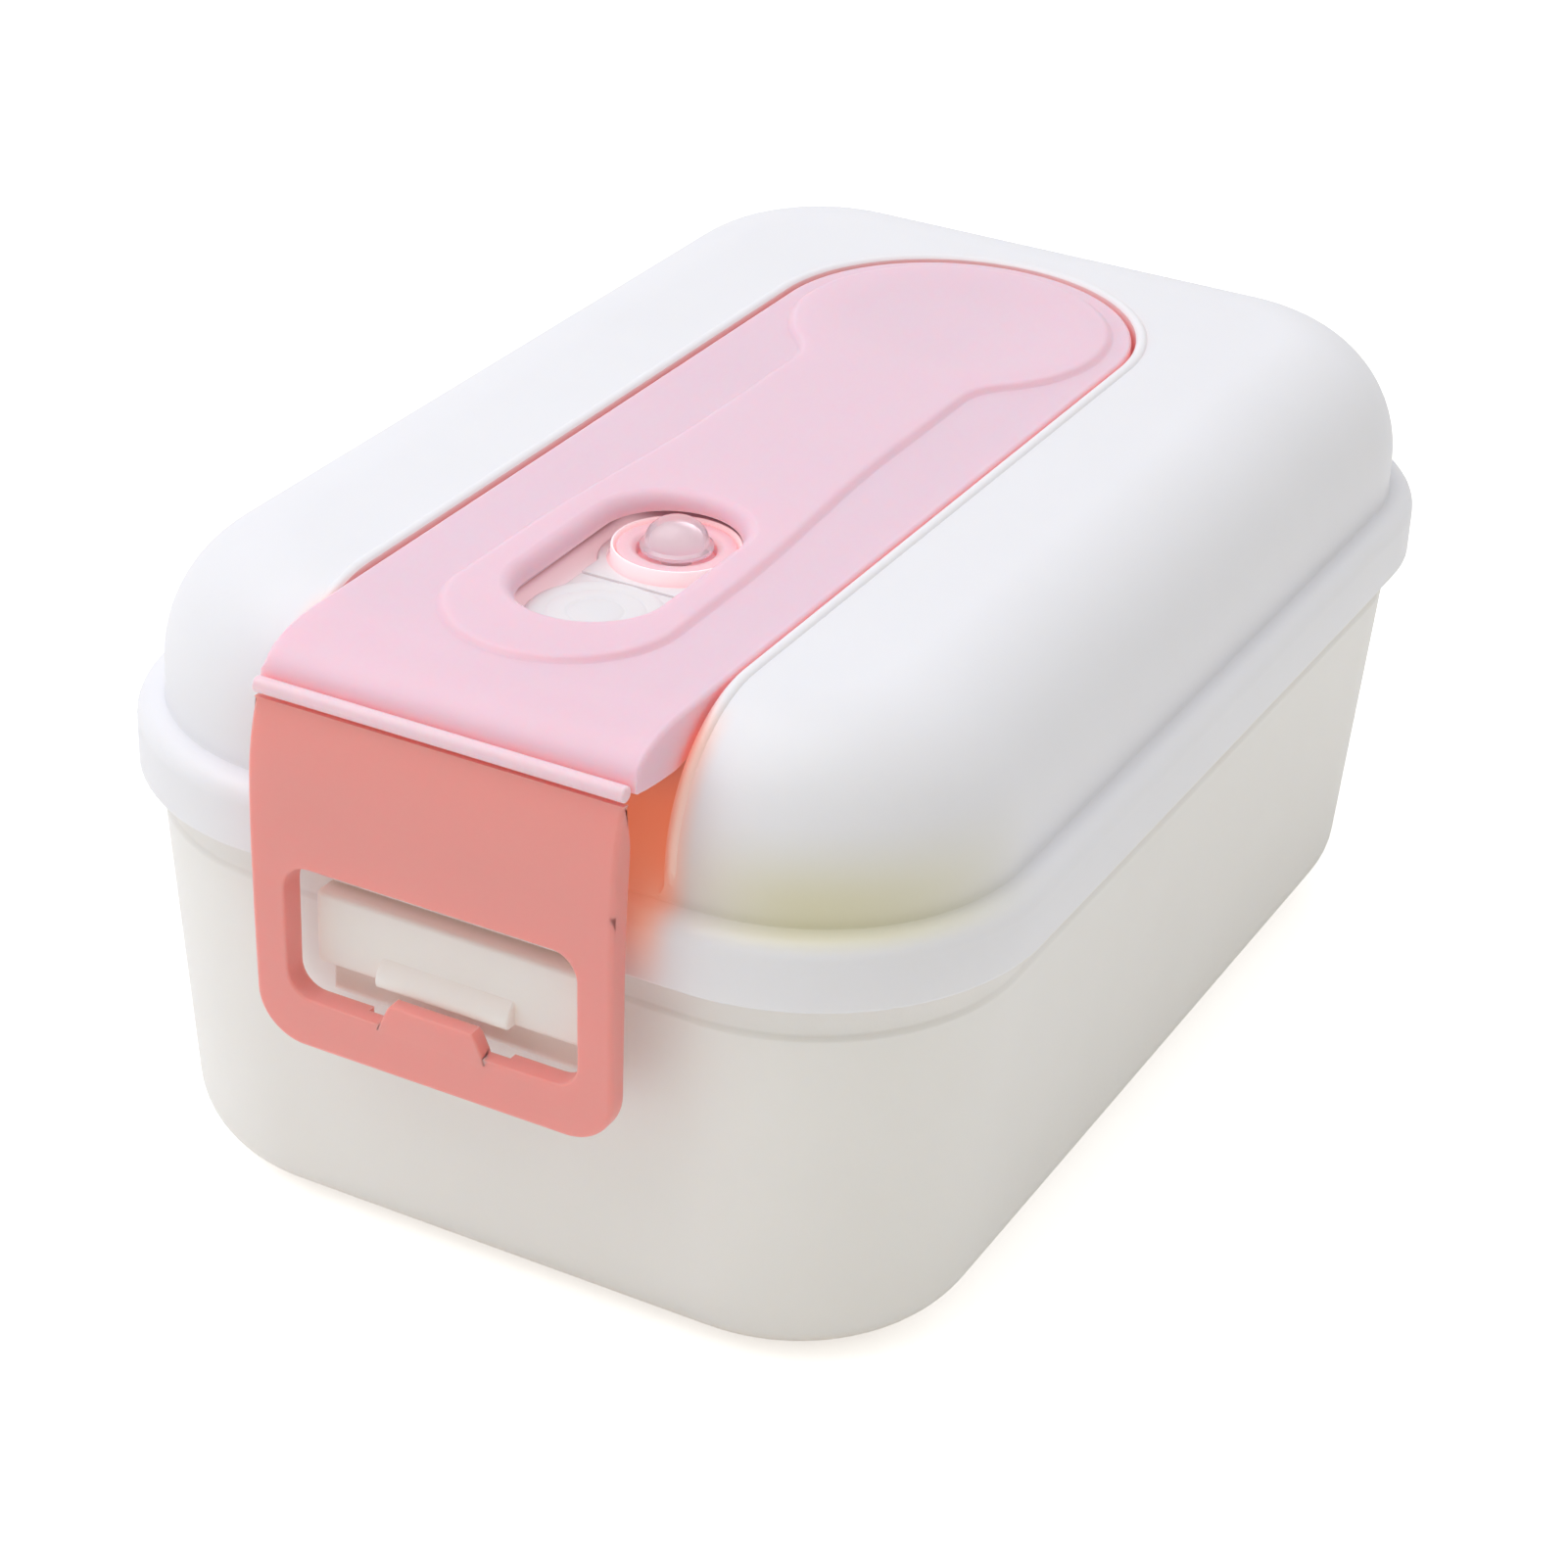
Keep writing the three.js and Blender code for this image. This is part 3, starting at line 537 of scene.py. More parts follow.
def lid_plastic(colours):
    """White plastic with painted glow by the flap and in the port, and painted shade."""
    material = moulding("lid_plastic", colours.lid, 0.4, soft=0.25, depth=0.003,
                        shade=colours.shade, reach=0.003)
    tree = material.node_tree
    shader = tree.nodes["Principled BSDF"]
    surface = next(n for n in tree.nodes if n.type == "GROUP")
    split = tree.nodes.new("ShaderNodeSeparateXYZ")
    tree.links.new(object_place(tree), split.inputs["Vector"])

    def zone(*limits):
        """Where the object's coordinates, in metres, lie inside each of the soft limits."""
        factor = None
        for axis, outside, inside in limits:
            part = ramped(tree, split.outputs[axis], outside, inside, soft=True)
            factor = maths(tree, "MULTIPLY", factor, part) if factor else part
        return factor

    def width(outside, inside):
        return ("X", outside, inside), ("X", -outside, -inside)

    # painted glow: the lid between flap and well is coloured orange and gives off warm light
    gap_glow_zone = zone(("Y", -0.084, -0.092), ("Z", 0.059, 0.08), *width(0.034, 0.028))
    # painted glow: the well floor under the strap's port gives off pale pink light
    port = zone(("Y", -0.084, -0.079), ("Y", -0.03, -0.036), ("Z", 0.09, 0.092),
                *width(0.016, 0.013))
    # painted shade with a painted warm reflection: the lower front of the dome is darker and yellower
    low_front_shade_zone = zone(("Y", -0.06, -0.096), ("Z", 0.089, 0.077), ("Z", 0.072, 0.0745),
                     ("X", 0.024, 0.05))
    # painted shade: creases along the well's sides are tinted pink
    well = zone(*width(0.0314, 0.0302), ("Z", 0.088, 0.091))
    tree.links.new(maths(tree, "MULTIPLY", well, 0.6), surface.inputs["Crease"])
    low_front_shade_colour = mixed(tree, low_front_shade_zone, (*colours.lid, 1), (0.74, 0.71, 0.54, 1))
    tree.links.new(mixed(tree, gap_glow_zone, low_front_shade_colour, (0.9, 0.5, 0.4, 1)), surface.inputs["Color"])
    glow = mixed(tree, port, (0, 0, 0, 1), (0.8, 0.6, 0.62, 1))
    tree.links.new(mixed(tree, gap_glow_zone, glow, (0.62, 0.17, 0.06, 1)), shader.inputs["Emission Color"])
    shader.inputs["Emission Strength"].default_value = 0.42
    return material


def clear_plastic(colour):
    material, tree, shader = new_material("clear_cap")
    mottle = ramped(tree, noisy(tree, object_place(tree), 60.0), 0.0, 1.0, 0.1, 0.16)
    tree.links.new(mottle, shader.inputs["Roughness"])
    shader.inputs["Base Color"].default_value = (*colour, 1)
    shader.inputs["Transmission Weight"].default_value = 0.72
    # painted glow: a faint emission lightens the cap
    shader.inputs["Emission Color"].default_value = (*colour, 1)
    shader.inputs["Emission Strength"].default_value = 0.03
    shader.inputs["IOR"].default_value = 1.42
    return material


def pin_metal():
    """Drawn steel, with its fine lines along the pin."""
    material, tree, shader = new_material("pin_steel")
    stretch = tree.nodes.new("ShaderNodeMapping")
    stretch.inputs["Scale"].default_value = (40, 3000, 3000)
    tree.links.new(object_place(tree), stretch.inputs["Vector"])
    lines = ramped(tree, noisy(tree, stretch.outputs["Vector"]), 0.0, 1.0, 0.22, 0.42)
    tree.links.new(lines, shader.inputs["Roughness"])
    shader.inputs["Base Color"].default_value = (0.62, 0.63, 0.65, 1)
    shader.inputs["Metallic"].default_value = 1
    return material


# ---- tub ----------------------------------------------------------------------------------

def tub_inset(z):
    shape = bpy.context.scene.lunch_shape
    return shape.tub_inset + shape.tub_draft * (SKIRT_Z - z)


def footed(extra, floor, fillet, steps):
    """Profile points of a drafted wall's rounded foot, from the wall down to the floor."""
    points = []
    for i in range(steps + 1):
        angle = math.radians(90 * i / steps)
        z = floor + fillet * (1 - math.sin(angle))
        points.append((tub_inset(z) + extra + fillet * (1 - math.cos(angle)), z))
    return points


def chamfered_block(name, half_x, y0, y1, z0, z1, width, segments=4, test=None):
    """A block with its edges rounded, for mouldings that stand on a wall."""
    obj = upright(
        name, [(-half_x, y0), (half_x, y0), (half_x, y1), (-half_x, y1)], z0, z1)
    return round_edges(obj, width, segments, test or (lambda p: True))


def catch_mouldings():
    """The plate, its foot and the hook lip that the latch's tab snaps under."""
    root = CATCH_ROOT_Y
    plate = chamfered_block("catch_plate", 21.3, root, -104.3, 51.5, 63.0, 0.9,
                            test=lambda p: p.y < -100)
    foot = across("catch_foot", [
        (root, 42.5), (-102.0, 46.5), (-102.0, 52.5), (root, 52.5)], 20.3)
    round_edges(foot, 0.8, 4, lambda p: p.y < -100 and p.z < 52)
    lip = across("catch_lip", [
        (-103.8, 51.7), (-105.7, 51.7), (-106.1, 52.1), (-106.1, 53.1), (-105.6, 54.2),
        (-103.8, 56.1)], 10.6)
    round_edges(lip, 0.35, 3, lambda p: p.y < -104.2)
    return plate, foot, lip


def hinge_knuckle(name, x0, x1, arm):
    barrel = rod_along_x(name, BARREL_RADIUS, x0, x1, HINGE_Y, HINGE_Z)
    solid = raised(name + "_arm", [(x0, y, z) for y, z in arm], (x1 - x0, 0, 0))
    return add(barrel, solid)


class LUNCHBOX_OT_tub(bpy.types.Operator):
    """Models the tub with its rim, foot, catch and rear knuckles"""

    bl_idname = "lunchbox.tub"
    bl_label = "Tub"

    def execute(self, context):
        shape = context.scene.lunch_shape
        rim = TUB_HIGH.z
        band = 0.45  # the strip under the skirt is set in by this much
        wall, rim_wall, ledge = 3.0, 2.0, 62.4
        top = tub_inset(rim) + band
        upper = [(top, rim - 0.9), (top, rim - 0.35), (top + 0.35, rim)]
        inner_top = tub_inset(rim) + rim_wall
        inner_ledge = tub_inset(ledge) + rim_wall
        upper += [(inner_top - 0.3, rim), (inner_top, rim - 0.3), (inner_ledge, ledge)]
        upper += [(tub_inset(ledge) + wall, ledge)]
        upper += footed(wall, 2.4, shape.tub_foot - wall, 10)
        lower = [(top, rim - 0.9), (tub_inset(58.3) + band, 58.3), (tub_inset(57.9) + 0.3, 57.9),
                 (tub_inset(57.4) + 0.05, 57.4), (tub_inset(57.0), 57.0)]
        lower += footed(0, 0, shape.tub_foot, 14)
        obj = stack("tub", plan(top), upper, lower)
        add(obj, *catch_mouldings())
        arm = [(97, 52), (HINGE_Y + 1.8, HINGE_Z - 2.6), (HINGE_Y, HINGE_Z - 0.4),
               (97, HINGE_Z - 0.4)]
        for index, (x0, x1) in enumerate(((-28, -20.6), (-8, 8), (20.6, 28))):
            add(obj, hinge_knuckle(f"tub_knuckle_{index}", x0, x1, arm))
        cut(obj, rod_along_x("bore", PIN_BORE, -40, 40, HINGE_Y, HINGE_Z))
        # painted light: the tub's creases are tinted warm and given a glow that lightens their shade
        finish_piece(obj, "tub", "box", ["box_body"], moulding(
            "frosted_tub", context.scene.lunch_colours.tub, 0.42, soft=0.35, depth=0.004,
            clouds=0.05, shade=(0.95, 0.82, 0.73), crease=0.5, reach=0.006, glow=0.14))
        return {"FINISHED"}


class LUNCHBOX_OT_tray(bpy.types.Operator):
    """Models the inner tray, its fixed rib and the divider that stands in it"""

    bl_idname = "lunchbox.tray"
    bl_label = "Tray and divider"

    def execute(self, context):
        colours = context.scene.lunch_colours
        extra = 3.5
        wall = 1.4
        rim = TRAY_HIGH.z
        hang = 5.4
        inner = tub_inset(rim) + extra + wall
        upper = [(hang, rim - 1.5), (hang, rim - 0.4), (hang + 0.4, rim), (inner - 0.4, rim),
                 (inner, rim - 0.4)]
        upper += footed(extra + wall, TRAY_LOW.z + 1.6, 7.6, 9)
        lower = [(hang, rim - 1.5), (tub_inset(rim) + extra, rim - 1.5)]
        lower += footed(extra, TRAY_LOW.z, 9.0, 10)
        obj = stack("tray", plan(hang), upper, lower)
        inside = stack("inside", plan(tub_inset(rim) + extra + 0.2), [
            (tub_inset(rim) + extra + 0.2, rim - 3), (tub_inset(rim) + extra + 0.2, rim - 1)], [
            (tub_inset(rim) + extra + 0.2, rim - 3), *footed(extra + 0.2, TRAY_LOW.z + 0.3, 9, 10)])
        rib = upright("rib", [(-80, 20.75), (80, 20.75), (80, 22.25), (-80, 22.25)], 5, 58)
        for side in (-1, 1):
            x0, x1 = sorted((side * 1.05, side * 2.25))
            add(rib, upright("guide", [(x0, 21.5), (x1, 21.5), (x1, 25), (x0, 25)], 6, 58))
        combine(rib, inside, "INTERSECT")
        round_edges(rib, 0.35, 3, lambda p: p.z > 57.5)
        add(obj, rib)
        finish_piece(obj, "tray", "box", ["inner_tray"], moulding(
            "tray_plastic", colours.tray, 0.36, soft=0.15))
        front, rear = DIVIDER_LOW.y, DIVIDER_HIGH.y
        floor, top = DIVIDER_LOW.z, DIVIDER_HIGH.z
        divider = across("divider", [
            (front, floor), (82, floor), (87.6, 11.5), (90.2, 19), (rear, top), (65, top),
            *arc(58, top + 3, 7.5, -23.6, -156.4, 10), (front, top)], DIVIDER_HIGH.x)
        round_edges(divider, 0.4, 3, lambda p: True)
        finish_piece(divider, "divider", "box", ["tray_divider"], moulding(
            "divider_plastic", colours.strap, 0.4, soft=0.15))
        return {"FINISHED"}


class LUNCHBOX_OT_hinge_pin(bpy.types.Operator):
    """Models the steel pin of the rear hinge"""

    bl_idname = "lunchbox.hinge_pin"
    bl_label = "Hinge pin"

    def execute(self, context):
        obj = rod_along_x("pin", PIN_HIGH.z - HINGE_Z, PIN_LOW.x, PIN_HIGH.x, HINGE_Y, HINGE_Z, 40)
        round_edges(obj, 0.3, 4, lambda p: abs(p.x) > PIN_HIGH.x - 0.1)
        finish_piece(obj, "hinge_rod", "box", ["hinge_pin"], pin_metal())
        return {"FINISHED"}


# ---- lid ----------------------------------------------------------------------------------

def dome_profile(inset, fillet, start, steps):
    """Profile points of the dome's rounded edge, from an angle in degrees to its top."""
    spring = bpy.context.scene.lunch_shape.dome_spring
    points = []
    for i in range(steps + 1):
        angle = math.radians(start + (90 - start) * i / steps)
        points.append((inset + fillet * (1 - math.cos(angle)), spring + fillet * math.sin(angle)))
    return points


def well_line(drop):
    """Side line of the well's floor, from its rear to where it runs out above the flange."""
    shape = bpy.context.scene.lunch_shape
    floor, front = shape.well_floor - drop, shape.dome_fillet + shape.dome_inset - PLAN_Y
    fall = [(-6, -1.5), (-10.5, -5.0), (-14.2, -10.6), (-17.2, -15.2), (-20.3, -18.6)]
    return [(front, floor)] + [(front + y + drop * 0.5, floor + z) for y, z in fall]


def lid_moulding():
    shape = bpy.context.scene.lunch_shape
    flange, inset = shape.flange_top, shape.dome_inset
    upper = [(0, SKIRT_Z + 0.6), (0, flange - 3)]
    upper += [(3 * (1 - math.cos(a)), flange - 3 + 3 * math.sin(a))
              for a in (math.radians(15 * i) for i in range(1, 7))]
    upper += [(inset - 0.5, flange + 0.06), (inset - 0.2, flange + 0.25), (inset, flange + 0.9)]
    upper += dome_profile(inset, shape.dome_fillet, 0, 18)
    ceiling = flange - 2
    plug, plug_wall = 6.6, 1.6
    lower = [(0, SKIRT_Z + 0.6), (0.25, SKIRT_Z + 0.15), (0.6, SKIRT_Z),
             (shape.skirt_wall, SKIRT_Z), (shape.skirt_wall, ceiling), (plug, ceiling),
             (plug, ceiling - 3.1), (plug + 0.3, ceiling - 3.4),
             (plug + plug_wall, ceiling - 3.4)]
    inner = shape.dome_fillet - 2
    start = math.degrees(math.acos(1 - (plug + plug_wall - inset - 2) / inner))
    lower += dome_profile(inset + 2, inner, start, 14)
    return stack("lid", plan(0), upper, lower)


def well_backing():
    """The wall under the well, which fills up to just inside the dome."""
    shape = bpy.context.scene.lunch_shape
    half = shape.well_half + 2
    front = shape.dome_fillet + shape.dome_inset - PLAN_Y
    skin = arc(front, shape.dome_spring, shape.dome_fillet - 0.7, 178, 90, 14)
    rear = shape.well_end + half
    floor = list(reversed(well_line(2.0)))
    outline = floor + [(rear, shape.well_floor - 2), (rear, skin[-1][1])] + skin[::-1]
    obj = across("backing", outline, half)
    return round_ends(obj, half - TINY, 40, rear)


def well_cutter():
    shape = bpy.context.scene.lunch_shape
    rear = shape.well_end + shape.well_half
    line = well_line(0)
    outline = [(rear, shape.well_floor), *line, (-118, line[-1][1]), (-118, 112), (rear, 112)]
    obj = across("well", outline, shape.well_half)
    round_ends(obj, shape.well_half - TINY, 48, rear)
    return round_edges(obj, 1.4, 5, lambda p: (
        p.z < shape.well_floor + 0.1 and p.y > line[-1][0] - 0.1 and (
            p.y > shape.well_end or abs(p.x) > shape.well_half - 0.1)), angle=50)


def well_lip():
    """Soft bead round the well, which sinks into the wall above the flange."""
    shape = bpy.context.scene.lunch_shape
    radius = shape.lip_radius
    x = shape.well_half + radius - 0.1
    sunk = 0.5
    front = shape.dome_fillet + shape.dome_inset - PLAN_Y
    rise = shape.dome_fillet - sunk
    side = [(front + py, shape.dome_spring + pz)
            for py, pz in arc(0, 0, rise, 180, 90, 24)]
    tail = [(front - rise + 1.6, shape.flange_top - 1), (front - rise + 0.9, shape.flange_top + 1.2),
            (front - rise + 0.3, shape.flange_top + 3.2)]
    top = shape.dome_spring + rise
    right = [(x, y, z) for y, z in tail + side]
    around = [(px, py, top) for px, py in arc(0, shape.well_end, x, 0, 180, 56)]
    path = right + around + [(-px, py, pz) for px, py, pz in reversed(right)]
    deselect()
    bpy.ops.curve.primitive_bezier_curve_add()
    obj = bpy.context.object
    obj.data.splines.clear()
    spline = obj.data.splines.new("POLY")
    spline.points.add(len(path) - 1)
    for point, place in zip(spline.points, path):
        point.co = (*place, 1)
    obj.data.bevel_depth = radius
    obj.data.bevel_resolution = 5
    obj.data.use_fill_caps = True
    obj.data.dimensions = "3D"
    bpy.ops.object.convert(target="MESH")
    obj = bpy.context.object
    with editing(obj):
        bpy.ops.mesh.select_all(action="SELECT")
        bpy.ops.mesh.remove_doubles(threshold=0.001)
        bpy.ops.mesh.normals_make_consistent(inside=False)
    return obj


class LUNCHBOX_OT_lid(bpy.types.Operator):
    """Models the lid: flange, dome, well with its lip, valve cup and knuckles"""

    bl_idname = "lunchbox.lid"
    bl_label = "Lid"

    def execute(self, context):
        shape = context.scene.lunch_shape
        obj = lid_moulding()
        add(obj, well_backing(), well_lip())
        cut(obj, well_cutter())
        floor = shape.well_floor
        rim = RING_HIGH.z + 0.3
        cup = turned("cup", 0, VALVE_Y, [
            (9.9, floor - 1), (9.9, floor), (9.6, floor + 0.15), (9.45, floor + 0.6),
            (9.4, rim - 0.2), (9.3, rim), (9.1, rim), (9.0, rim - 0.2), (9.0, rim - 1.5),
            (8.5, rim - 2.0), (8.5, floor - 0.5)], 72)
        add(obj, cup)
        for name, bore, bore_y in (
            ("valve_bore", 2.5, VALVE_Y), ("plug_bore", 3.3, PLUG_LOW.y + 10.5),
        ):
            cut(obj, turned(name, 0, bore_y, [(bore, 80), (bore, 95)], 40))
        y, z = HINGE_Y, HINGE_Z
        arm = [(y - 4.6, z + 1.4), (y - 3.2, z), (y, z), (y + 3, z + 1.1), (y + 1.8, z + 3.6),
               (y - 2.6, z + 8), (y - 4.6, z + 8.7)]
        for index, (x0, x1) in enumerate(((-20.3, -8.3), (8.3, 20.3))):
            add(obj, hinge_knuckle(f"lid_knuckle_{index}", x0, x1, arm))
        cut(obj, rod_along_x("bore", PIN_BORE, -40, 40, y, z))
        finish_piece(obj, "lid", "lid", ["lid_shell"], lid_plastic(context.scene.lunch_colours))
        return {"FINISHED"}


class LUNCHBOX_OT_seal(bpy.types.Operator):
    """Models the silicone seal that the lid presses on the tub's rim"""

    bl_idname = "lunchbox.seal"
    bl_label = "Lid seal"

    def execute(self, context):
        outer = PLAN_X - SEAL_HIGH.x
        inner = 6.2
        low, high = SEAL_LOW.z, SEAL_HIGH.z
        obj = stack("seal", plan(outer), [
            (outer, low + 0.3), (outer, high - 0.3), (outer + 0.3, high), (inner - 0.3, high),
            (inner, high - 0.3)], [
            (outer, low + 0.3), (outer + 0.3, low), (outer + 1.2, low), (outer + 1.5, low + 0.3),
            (outer + 2.0, low + 0.3), (outer + 2.3, low), (inner - 0.3, low)])
        hole = stack("hole", plan(inner), [(inner, low - 1), (inner, high + 1)])
        cut(obj, hole)
        finish_piece(obj, "seal", "lid", ["lid_seal"], moulding(
            "seal_silicone", context.scene.lunch_colours.soft_pink, 0.55, soft=0.4, grain=0.03))
        return {"FINISHED"}


# ---- strap cover, strip and flap ----------------------------------------------------------

def relief_outline():
    """Outline of the strap's relief: round head, hollow neck and wide round foot."""
    end = bpy.context.scene.lunch_shape.well_end
    head, neck, fillet = 26.0, 15.3, 10.0
    foot_y, foot = -74.0, 17.8
    centre_x = neck + fillet
    centre_y = end - math.sqrt((head + fillet) ** 2 - centre_x ** 2)
    turn = math.degrees(math.atan2(end - centre_y, centre_x))
    low, high = -58.0, -8.0
    flare = []
    for i in range(1, 16):
        t = i / 16
        blend = t * t * (3 - 2 * t)
        flare.append((foot + (neck - foot) * blend, low + (high - low) * t))
    right = arc(0, foot_y, foot, -90, 0, 28) + flare
    right += arc(centre_x, centre_y, fillet, 180, 180 - turn, 12)
    right += arc(0, end, head, -turn, 90, 44)[1:]
    left = [(-x, y) for x, y in reversed(right[1:-1])]
    return right + left


def strap_side():
    """Side line of the strap, whose nose curves down over the lid's front."""
    shape = bpy.context.scene.lunch_shape
    top = STRAP_HIGH.z - shape.relief_rise
    tip = STRAP_LOW.y
    start, low, power = -91.5, 93.2, 2.3
    nose = []
    for i in range(25):
        angle = math.radians(90 * i / 24)
        nose.append((start + (tip - start) * math.sin(angle) ** (2 / power),
                     low + (top - low) * math.cos(angle) ** (2 / power)))
    under = [(tip + 0.1, 92.8), (tip + 0.5, 92.6), (-103.0, 92.45), (-101.7, 92.2), (-98.6, 91.85),
             (-95.4, 91.6), (-93.4, 91.6), (-91.7, 91.9), (-90.6, 92.6)]
    return nose, under, top


class LUNCHBOX_OT_strap_cover(bpy.types.Operator):
    """Models the strap cover with its nose, side walls, relief, dish and port"""

    bl_idname = "lunchbox.strap_cover"
    bl_label = "Strap cover"

    def execute(self, context):
        shape, colours = context.scene.lunch_shape, context.scene.lunch_colours
        half = STRAP_HIGH.x
        rear = shape.well_end + half
        nose, under, top = strap_side()
        low = shape.well_floor + 0.3
        outline = [(rear, top), *nose, *under, (-89.9, low), (rear, low)]
        obj = across("strap", outline, half)
        round_ends(obj, half - TINY, 56, rear)
        hollow_rear = rear - 1.4
        hollow = across("hollow", [
            (hollow_rear, 90), (hollow_rear, top - shape.strap_plate),
            (-87.5, top - shape.strap_plate), (-88.4, 94.5), (-89.0, 90)], half - 1.4)
        round_ends(hollow, half - 1.4 - TINY, 56, hollow_rear)
        cut(obj, hollow)
        round_edges(obj, 0.7, 4, lambda p: (
            p.z > top - 0.1 and (abs(p.x) > half - 0.1 or p.y > shape.well_end)) or (
            abs(p.x) > half - 0.1 and p.y < -83 and p.z > top - 4))
        rise = shape.relief_rise
        ease = [(0.2, 0.05), (0.5, 0.25), (0.8, 0.55), (1.1, 0.82), (1.45, 0.95), (1.9, 1.0)]
        relief = stack("relief", relief_outline(), [
            (0, top - 1.2), (0, top), *((inset, top + rise * part) for inset, part in ease)])
        add(obj, relief)
        cut(obj, dish_cutter(shape.well_end, top + rise, 0.75), port_cutter(shape))
        # painted shade and glow: the strap's creases turn deep pink and give off light
        finish_piece(obj, "strap", "strap", ["strap_cover"], moulding(
            "strap_plastic", colours.strap, 0.42, soft=0.9, depth=0.004, shade=colours.shade,
            crease=0.55, reach=0.005, glow=0.35, spread=PINK_SPREAD))
        return {"FINISHED"}


def dish_cutter(centre_y, top, depth):
    """A shallow lens that presses the round dish into the relief's head."""
    radius, steps = 22.8, 9
    points = [(radius, top + 3), (radius, top)]
    for i in range(1, steps + 1):
        t = i / steps
        points.append((radius * (1 - 0.9 * t), top - depth * (1 - (1 - t) ** 2.2) * min(1, t * 3)))
    obj = turned("dish", 0, centre_y, [(r, 2 * top - z) for r, z in points], 96)
    with editing(obj):
        bpy.ops.mesh.select_all(action="SELECT")
        bpy.ops.transform.resize(value=(1, 1, -1), center_override=(0, centre_y, top))
        bpy.ops.mesh.normals_make_consistent(inside=False)
    return obj


def port_cutter(shape):
    """Slot with round ends and a flared rim, which opens the strap over the valve."""
    half = shape.port_half
    top, flare = STRAP_HIGH.z, 2.4
    outline = (arc(0, PORT_REAR, half + flare, 0, 180, 36)
               + arc(0, PORT_FRONT, half + flare, 180, 360, 36))
    return stack("port", outline, [(0, 105), (0, 106)], [
        (0, 105), (0, top + 0.02), (0.5, top - 0.07), (1.0, top - 0.25), (1.5, top - 0.62),
        (1.9, top - 1.1), (2.2, top - 1.6), (flare, top - 2.2), (flare, top - 6)])


class LUNCHBOX_OT_hinge_strip(bpy.types.Operator):
    """Models the round strip between the strap's nose and the flap"""

    bl_idname = "lunchbox.hinge_strip"
    bl_label = "Hinge strip"

    def execute(self, context):
        y = (STRIP_LOW.y + STRIP_HIGH.y) / 2
        z = (STRIP_LOW.z + STRIP_HIGH.z) / 2
        obj = rod_along_x("strip", STRIP_HIGH.z - z, STRIP_LOW.x, STRIP_HIGH.x, y, z, 40)
        round_edges(obj, 0.25, 3, lambda p: abs(p.x) > STRIP_HIGH.x - 0.1)
        colours = context.scene.lunch_colours
        # painted shade and glow: the strip's creases turn deep pink and give off light
        finish_piece(obj, "strip", "strap", ["hinge_strip"], moulding(
            "strip_plastic", colours.strip, 0.36, soft=0.8, depth=0.003, shade=colours.shade,
            crease=0.25, glow=0.06, spread=PINK_SPREAD))
        return {"FINISHED"}


def smooth_line(points, steps):
    """A smooth line through a few points, by Catmull-Rom."""
    padded = [points[0], *points, points[-1]]
    line = []
    for a, b, c, d in zip(padded, padded[1:], padded[2:], padded[3:]):
        for i in range(steps):
            t = i / steps
            line.append(tuple(
                0.5 * (2 * q + (r - p) * t + (2 * p - 5 * q + 4 * r - s) * t * t
                       + (3 * q - p - 3 * r + s) * t ** 3)
                for p, q, r, s in zip(a, b, c, d)))
    line.append(points[-1])
    return line


class LUNCHBOX_OT_latch_flap(bpy.types.Operator):
    """Models the latch flap with its window and tab"""

    bl_idname = "lunchbox.latch_flap"
    bl_label = "Latch flap"

    def execute(self, context):
        half = FLAP_HIGH.x
        top, low, proud = FLAP_HIGH.z, FLAP_LOW.z, FLAP_LOW.y
        front = smooth_line([
            (proud + 2.6, top), (proud + 1.5, 88.6), (proud + 0.5, 84), (proud + 0.08, 78),
            (proud, 70)], 5) + [(proud + 0.2, 58), (proud + 0.8, low)]
        back = [(-105.2, low)] + smooth_line([
            (-105.2, 72), (-104.8, 79), (-104.5, 85), (-105.1, 89), (-105.7, top)], 5)
        obj = across("flap", front + back, half)
        corner = 7.5
        face = [(-half, 95), *arc(corner - half, low + corner, corner, 180, 270, 14),
                *arc(half - corner, low + corner, corner, 270, 360, 14), (half, 95)]
        combine(obj, through("face", face, -100, -115), "INTERSECT")
        window_z, window_half_x, window_half_z, window_corner = 58.5, 23, 10.5, 4
        cut(obj, through("window", rounded_plan_at(
            0, window_z, window_half_x, window_half_z, window_corner), -100, -115))
        cut(obj, through("groove", [
            (-GROOVE_HALF, low - 2), (GROOVE_HALF, low - 2), (GROOVE_HALF, 49),
            (-GROOVE_HALF, 49)], GROOVE_Y, -100))
        tab = through("tab", [
            (-8.6, 47), (8.6, 47), (8.0, 48.6), (7.0, 50.8), (6.5, 51.4), (-6.5, 51.4),
            (-7.0, 50.8), (-8.0, 48.6)], GROOVE_Y, proud + 0.45)
        add(obj, tab)
        round_edges(obj, 0.8, 4, lambda p: (
            abs(p.x) > half - 0.05
            or (p.z < low + 0.05 and (abs(p.x) > GROOVE_HALF + 0.2 or p.y < proud + 1.5))
            or (abs(p.x) > half - corner and p.z < low + corner)) and p.z < top - 0.2)
        round_edges(obj, 0.4, 3, lambda p: (
            abs(p.x) < 23.6 and 47.4 < p.z < 69.6 and p.y < proud + 0.95))
        colours = context.scene.lunch_colours
        # painted shade and glow: the flap's creases turn deep pink and give off light
        finish_piece(obj, "flap", "flap", ["latch_flap"], moulding(
            "flap_plastic", colours.flap, 0.42, soft=0.8, depth=0.003, shade=colours.shade,
            crease=0.4, reach=0.005, glow=0.1, spread=PINK_SPREAD))
        return {"FINISHED"}


def rounded_plan_at(x, z, half_x, half_z, radius):
    return [(x + px, z + pz) for px, pz in rounded_plan(half_x, half_z, radius, 8)]


# ---- valve, plug and cutlery --------------------------------------------------------------

